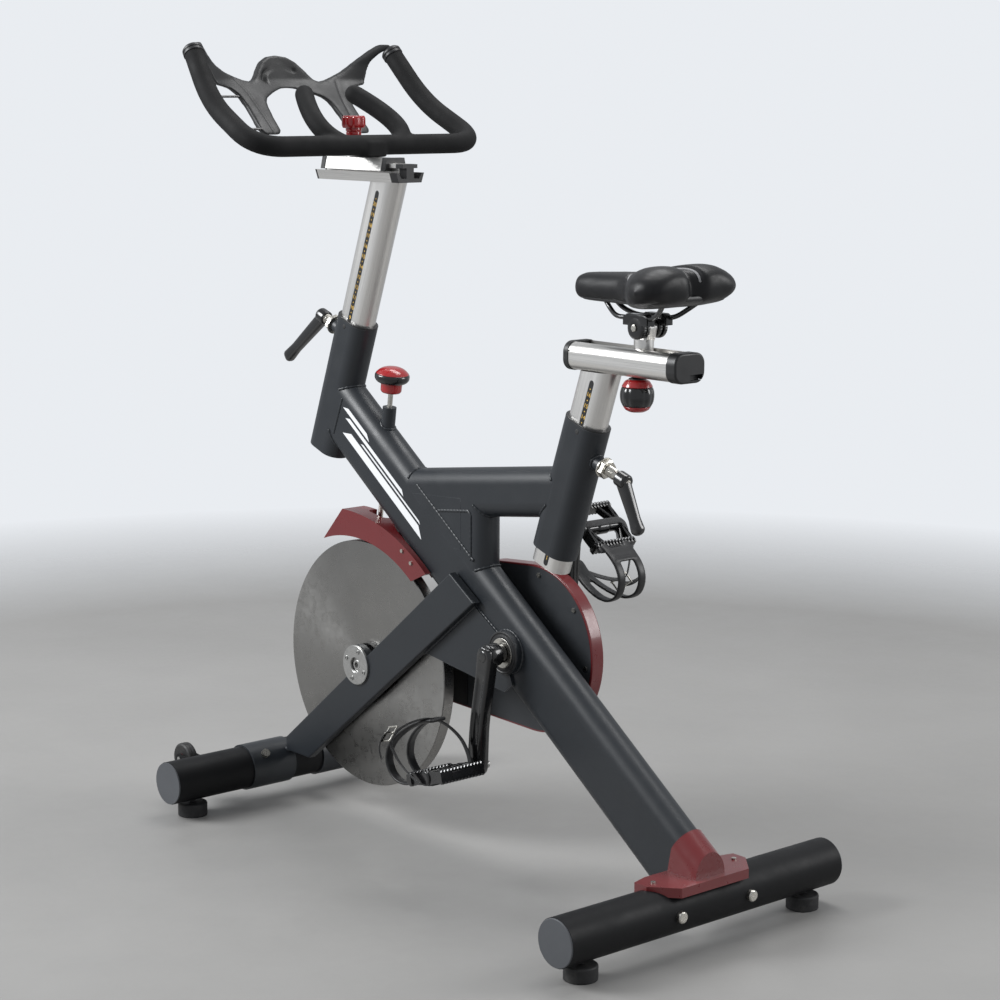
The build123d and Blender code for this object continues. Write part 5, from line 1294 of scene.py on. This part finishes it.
def side_seams():
    """Flat gussets where the tubes cross, and the bead that runs along the main tube beside them."""
    def on_main(along, over, y):
        return place(0, y, MAIN_TUBE_HEIGHT) + (MAIN_ALONG * along + MAIN_OVER * over) * MM

    plates = bmesh.new()
    beads = bmesh.new()
    for side in (1, -1):
        y = side * MAIN_TUBE_HALF
        corners = [(228, 562), (132, 489.6), (112, 489.6), (112, 569)]
        slab(plates, corners, place(0, y - side * 0.15, 0), FORWARD, UP, 2.0 * side, 0)
        lines = (
            [on_main(304, 50, y), on_main(138, 50, y)],
            [place(165, y, 543), place(94, y, 552), place(88, y, 546), place(88, y, 478)],
            [place(407, y, 690), place(430, y, 633)],
        )
        for line in lines:
            bead(beads, line, oval(2.2, 1.5, 10), LEFT)
    piece("gusset_plates", plates, "frame_paint", "frame")
    piece("side_beads", beads, "frame_paint", "frame")


def visible_outside(mesh, spot, outward):
    """False inside the tubes, where a ray towards the open soon meets steel again."""
    if not hasattr(visible_outside, "tree"):
        visible_outside.tree = BVHTree.FromBMesh(mesh)
    start = spot + outward * 0.002
    hit = visible_outside.tree.ray_cast(start, outward, 0.12)
    return hit[0] is None


def grow_chain(corners):
    """Takes a run of joined edges out of the set, as a list of points."""
    edge = min(corners, key=lambda item: item.index)
    corners.discard(edge)
    ends = [edge.verts[0], edge.verts[1]]
    points = [end.co.copy() for end in ends]
    for side in (1, 0):
        end = ends[side]
        last = points[-1] - points[-2] if side else points[0] - points[1]
        while True:
            options = [item for item in end.link_edges if item in corners]
            best = None
            for item in options:
                step = item.other_vert(end).co - end.co
                if step.length and last.length and step.angle(last) < math.radians(50):
                    if best is None or step.angle(last) < best[0]:
                        best = (step.angle(last), item, step)
            if best is None:
                break
            corners.discard(best[1])
            end = best[1].other_vert(end)
            last = best[2]
            if side:
                points.append(end.co.copy())
            else:
                points.insert(0, end.co.copy())
    return points


def tube_plugs():
    """Rubber plugs low on the left side of the two clamp tubes."""
    for name, x, z in (("tube_plug", 400, 806), ("seat_tube_plug", -147, 700)):
        turned(name, place(x, 24.6, z), LEFT, "rubber", "frame",
               [(0, 1.2), (2.94, 1.0), (4.2, 0.2), (4.2, -0.4), (0, -0.4)], soft=0.3, count=32)


saddle()
saddle_rails()
saddle_clamp()
handlebar()
horn_ends()
console()
brake_knob()
ball_knob()
star_knob()
levers()
cranks()
pedals()
stripes()
scales()
slider_caps()
transport_wheels()
weld_beads()
side_seams()
tube_plugs()


# ---------------------------------------------------------------- floor, light and camera

FLOOR_CLEAR = 1.9
FLOOR_EDGE = 3.1


def floor():
    """A round pale floor whose rim fades into the white of the room."""
    mesh = bmesh.new()
    bmesh.ops.create_circle(mesh, cap_ends=True, radius=FLOOR_EDGE, segments=128)
    data = bpy.data.meshes.new("floor")
    mesh.to_mesh(data)
    mesh.free()
    obj = new_object("floor", data)
    data.materials.append(concrete_floor("pale_floor"))


def soft_box(name, at, target, size, watts, colour=(1.0, 1.0, 1.0)):
    light = bpy.data.lights.new(name, "AREA")
    light.shape = "RECTANGLE"
    light.size, light.size_y = size
    light.energy = watts
    light.color = colour
    obj = new_object(name, light)
    obj.location = at
    obj.rotation_euler = (Vector(target) - Vector(at)).to_track_quat("-Z", "Y").to_euler()
    obj.visible_camera = False


def studio():
    """A white room to look at, dimmer as a light than to the eye, with one big window in front."""
    world = bpy.data.worlds.new("studio")
    bpy.context.scene.world = world
    bpy.context.scene.view_settings.view_transform = "Standard"
    world.use_nodes = True
    nodes = world.node_tree.nodes
    nodes["Background"].inputs["Color"].default_value = (0.93, 0.96, 1.0, 1.0)
    strength = nodes.new("ShaderNodeMapRange")
    strength.inputs["To Min"].default_value = 0.5
    strength.inputs["To Max"].default_value = 0.88
    seen = nodes.new("ShaderNodeLightPath").outputs["Is Camera Ray"]
    world.node_tree.links.new(seen, strength.inputs["Value"])
    world.node_tree.links.new(strength.outputs["Result"], nodes["Background"].inputs["Strength"])
    soft_box("window", (1.9, 2.6, 2.5), (0.1, 0.0, 0.6), (1.6, 1.6), 150, (0.97, 0.985, 1.0))
    soft_box("overhead", (0.2, -0.9, 3.2), (0.0, 0.0, 0.5), (2.2, 1.0), 45)
    soft_box("rim", (-2.2, -2.2, 1.8), (0.0, 0.0, 0.6), (1.0, 1.6), 40)


CAMERA_AT = place(-2631.0, 2305.2, 1195.6)
CAMERA_YAW = -40.7
CAMERA_PITCH = -10.0
CAMERA_ROLL = 0.2
LENS = 86.33


def camera():
    data = bpy.data.cameras.new("camera")
    data.lens = LENS
    data.sensor_width = 36.0
    data.clip_end = 60.0
    obj = new_object("camera", data)
    turn = Matrix.Rotation(math.radians(CAMERA_YAW - 90), 4, "Z")
    tilt = Matrix.Rotation(math.radians(90 + CAMERA_PITCH), 4, "X")
    roll = Matrix.Rotation(math.radians(CAMERA_ROLL), 4, "Z")
    obj.matrix_world = Matrix.Translation(CAMERA_AT) @ turn @ tilt @ roll
    bpy.context.scene.camera = obj


floor()
studio()
camera()
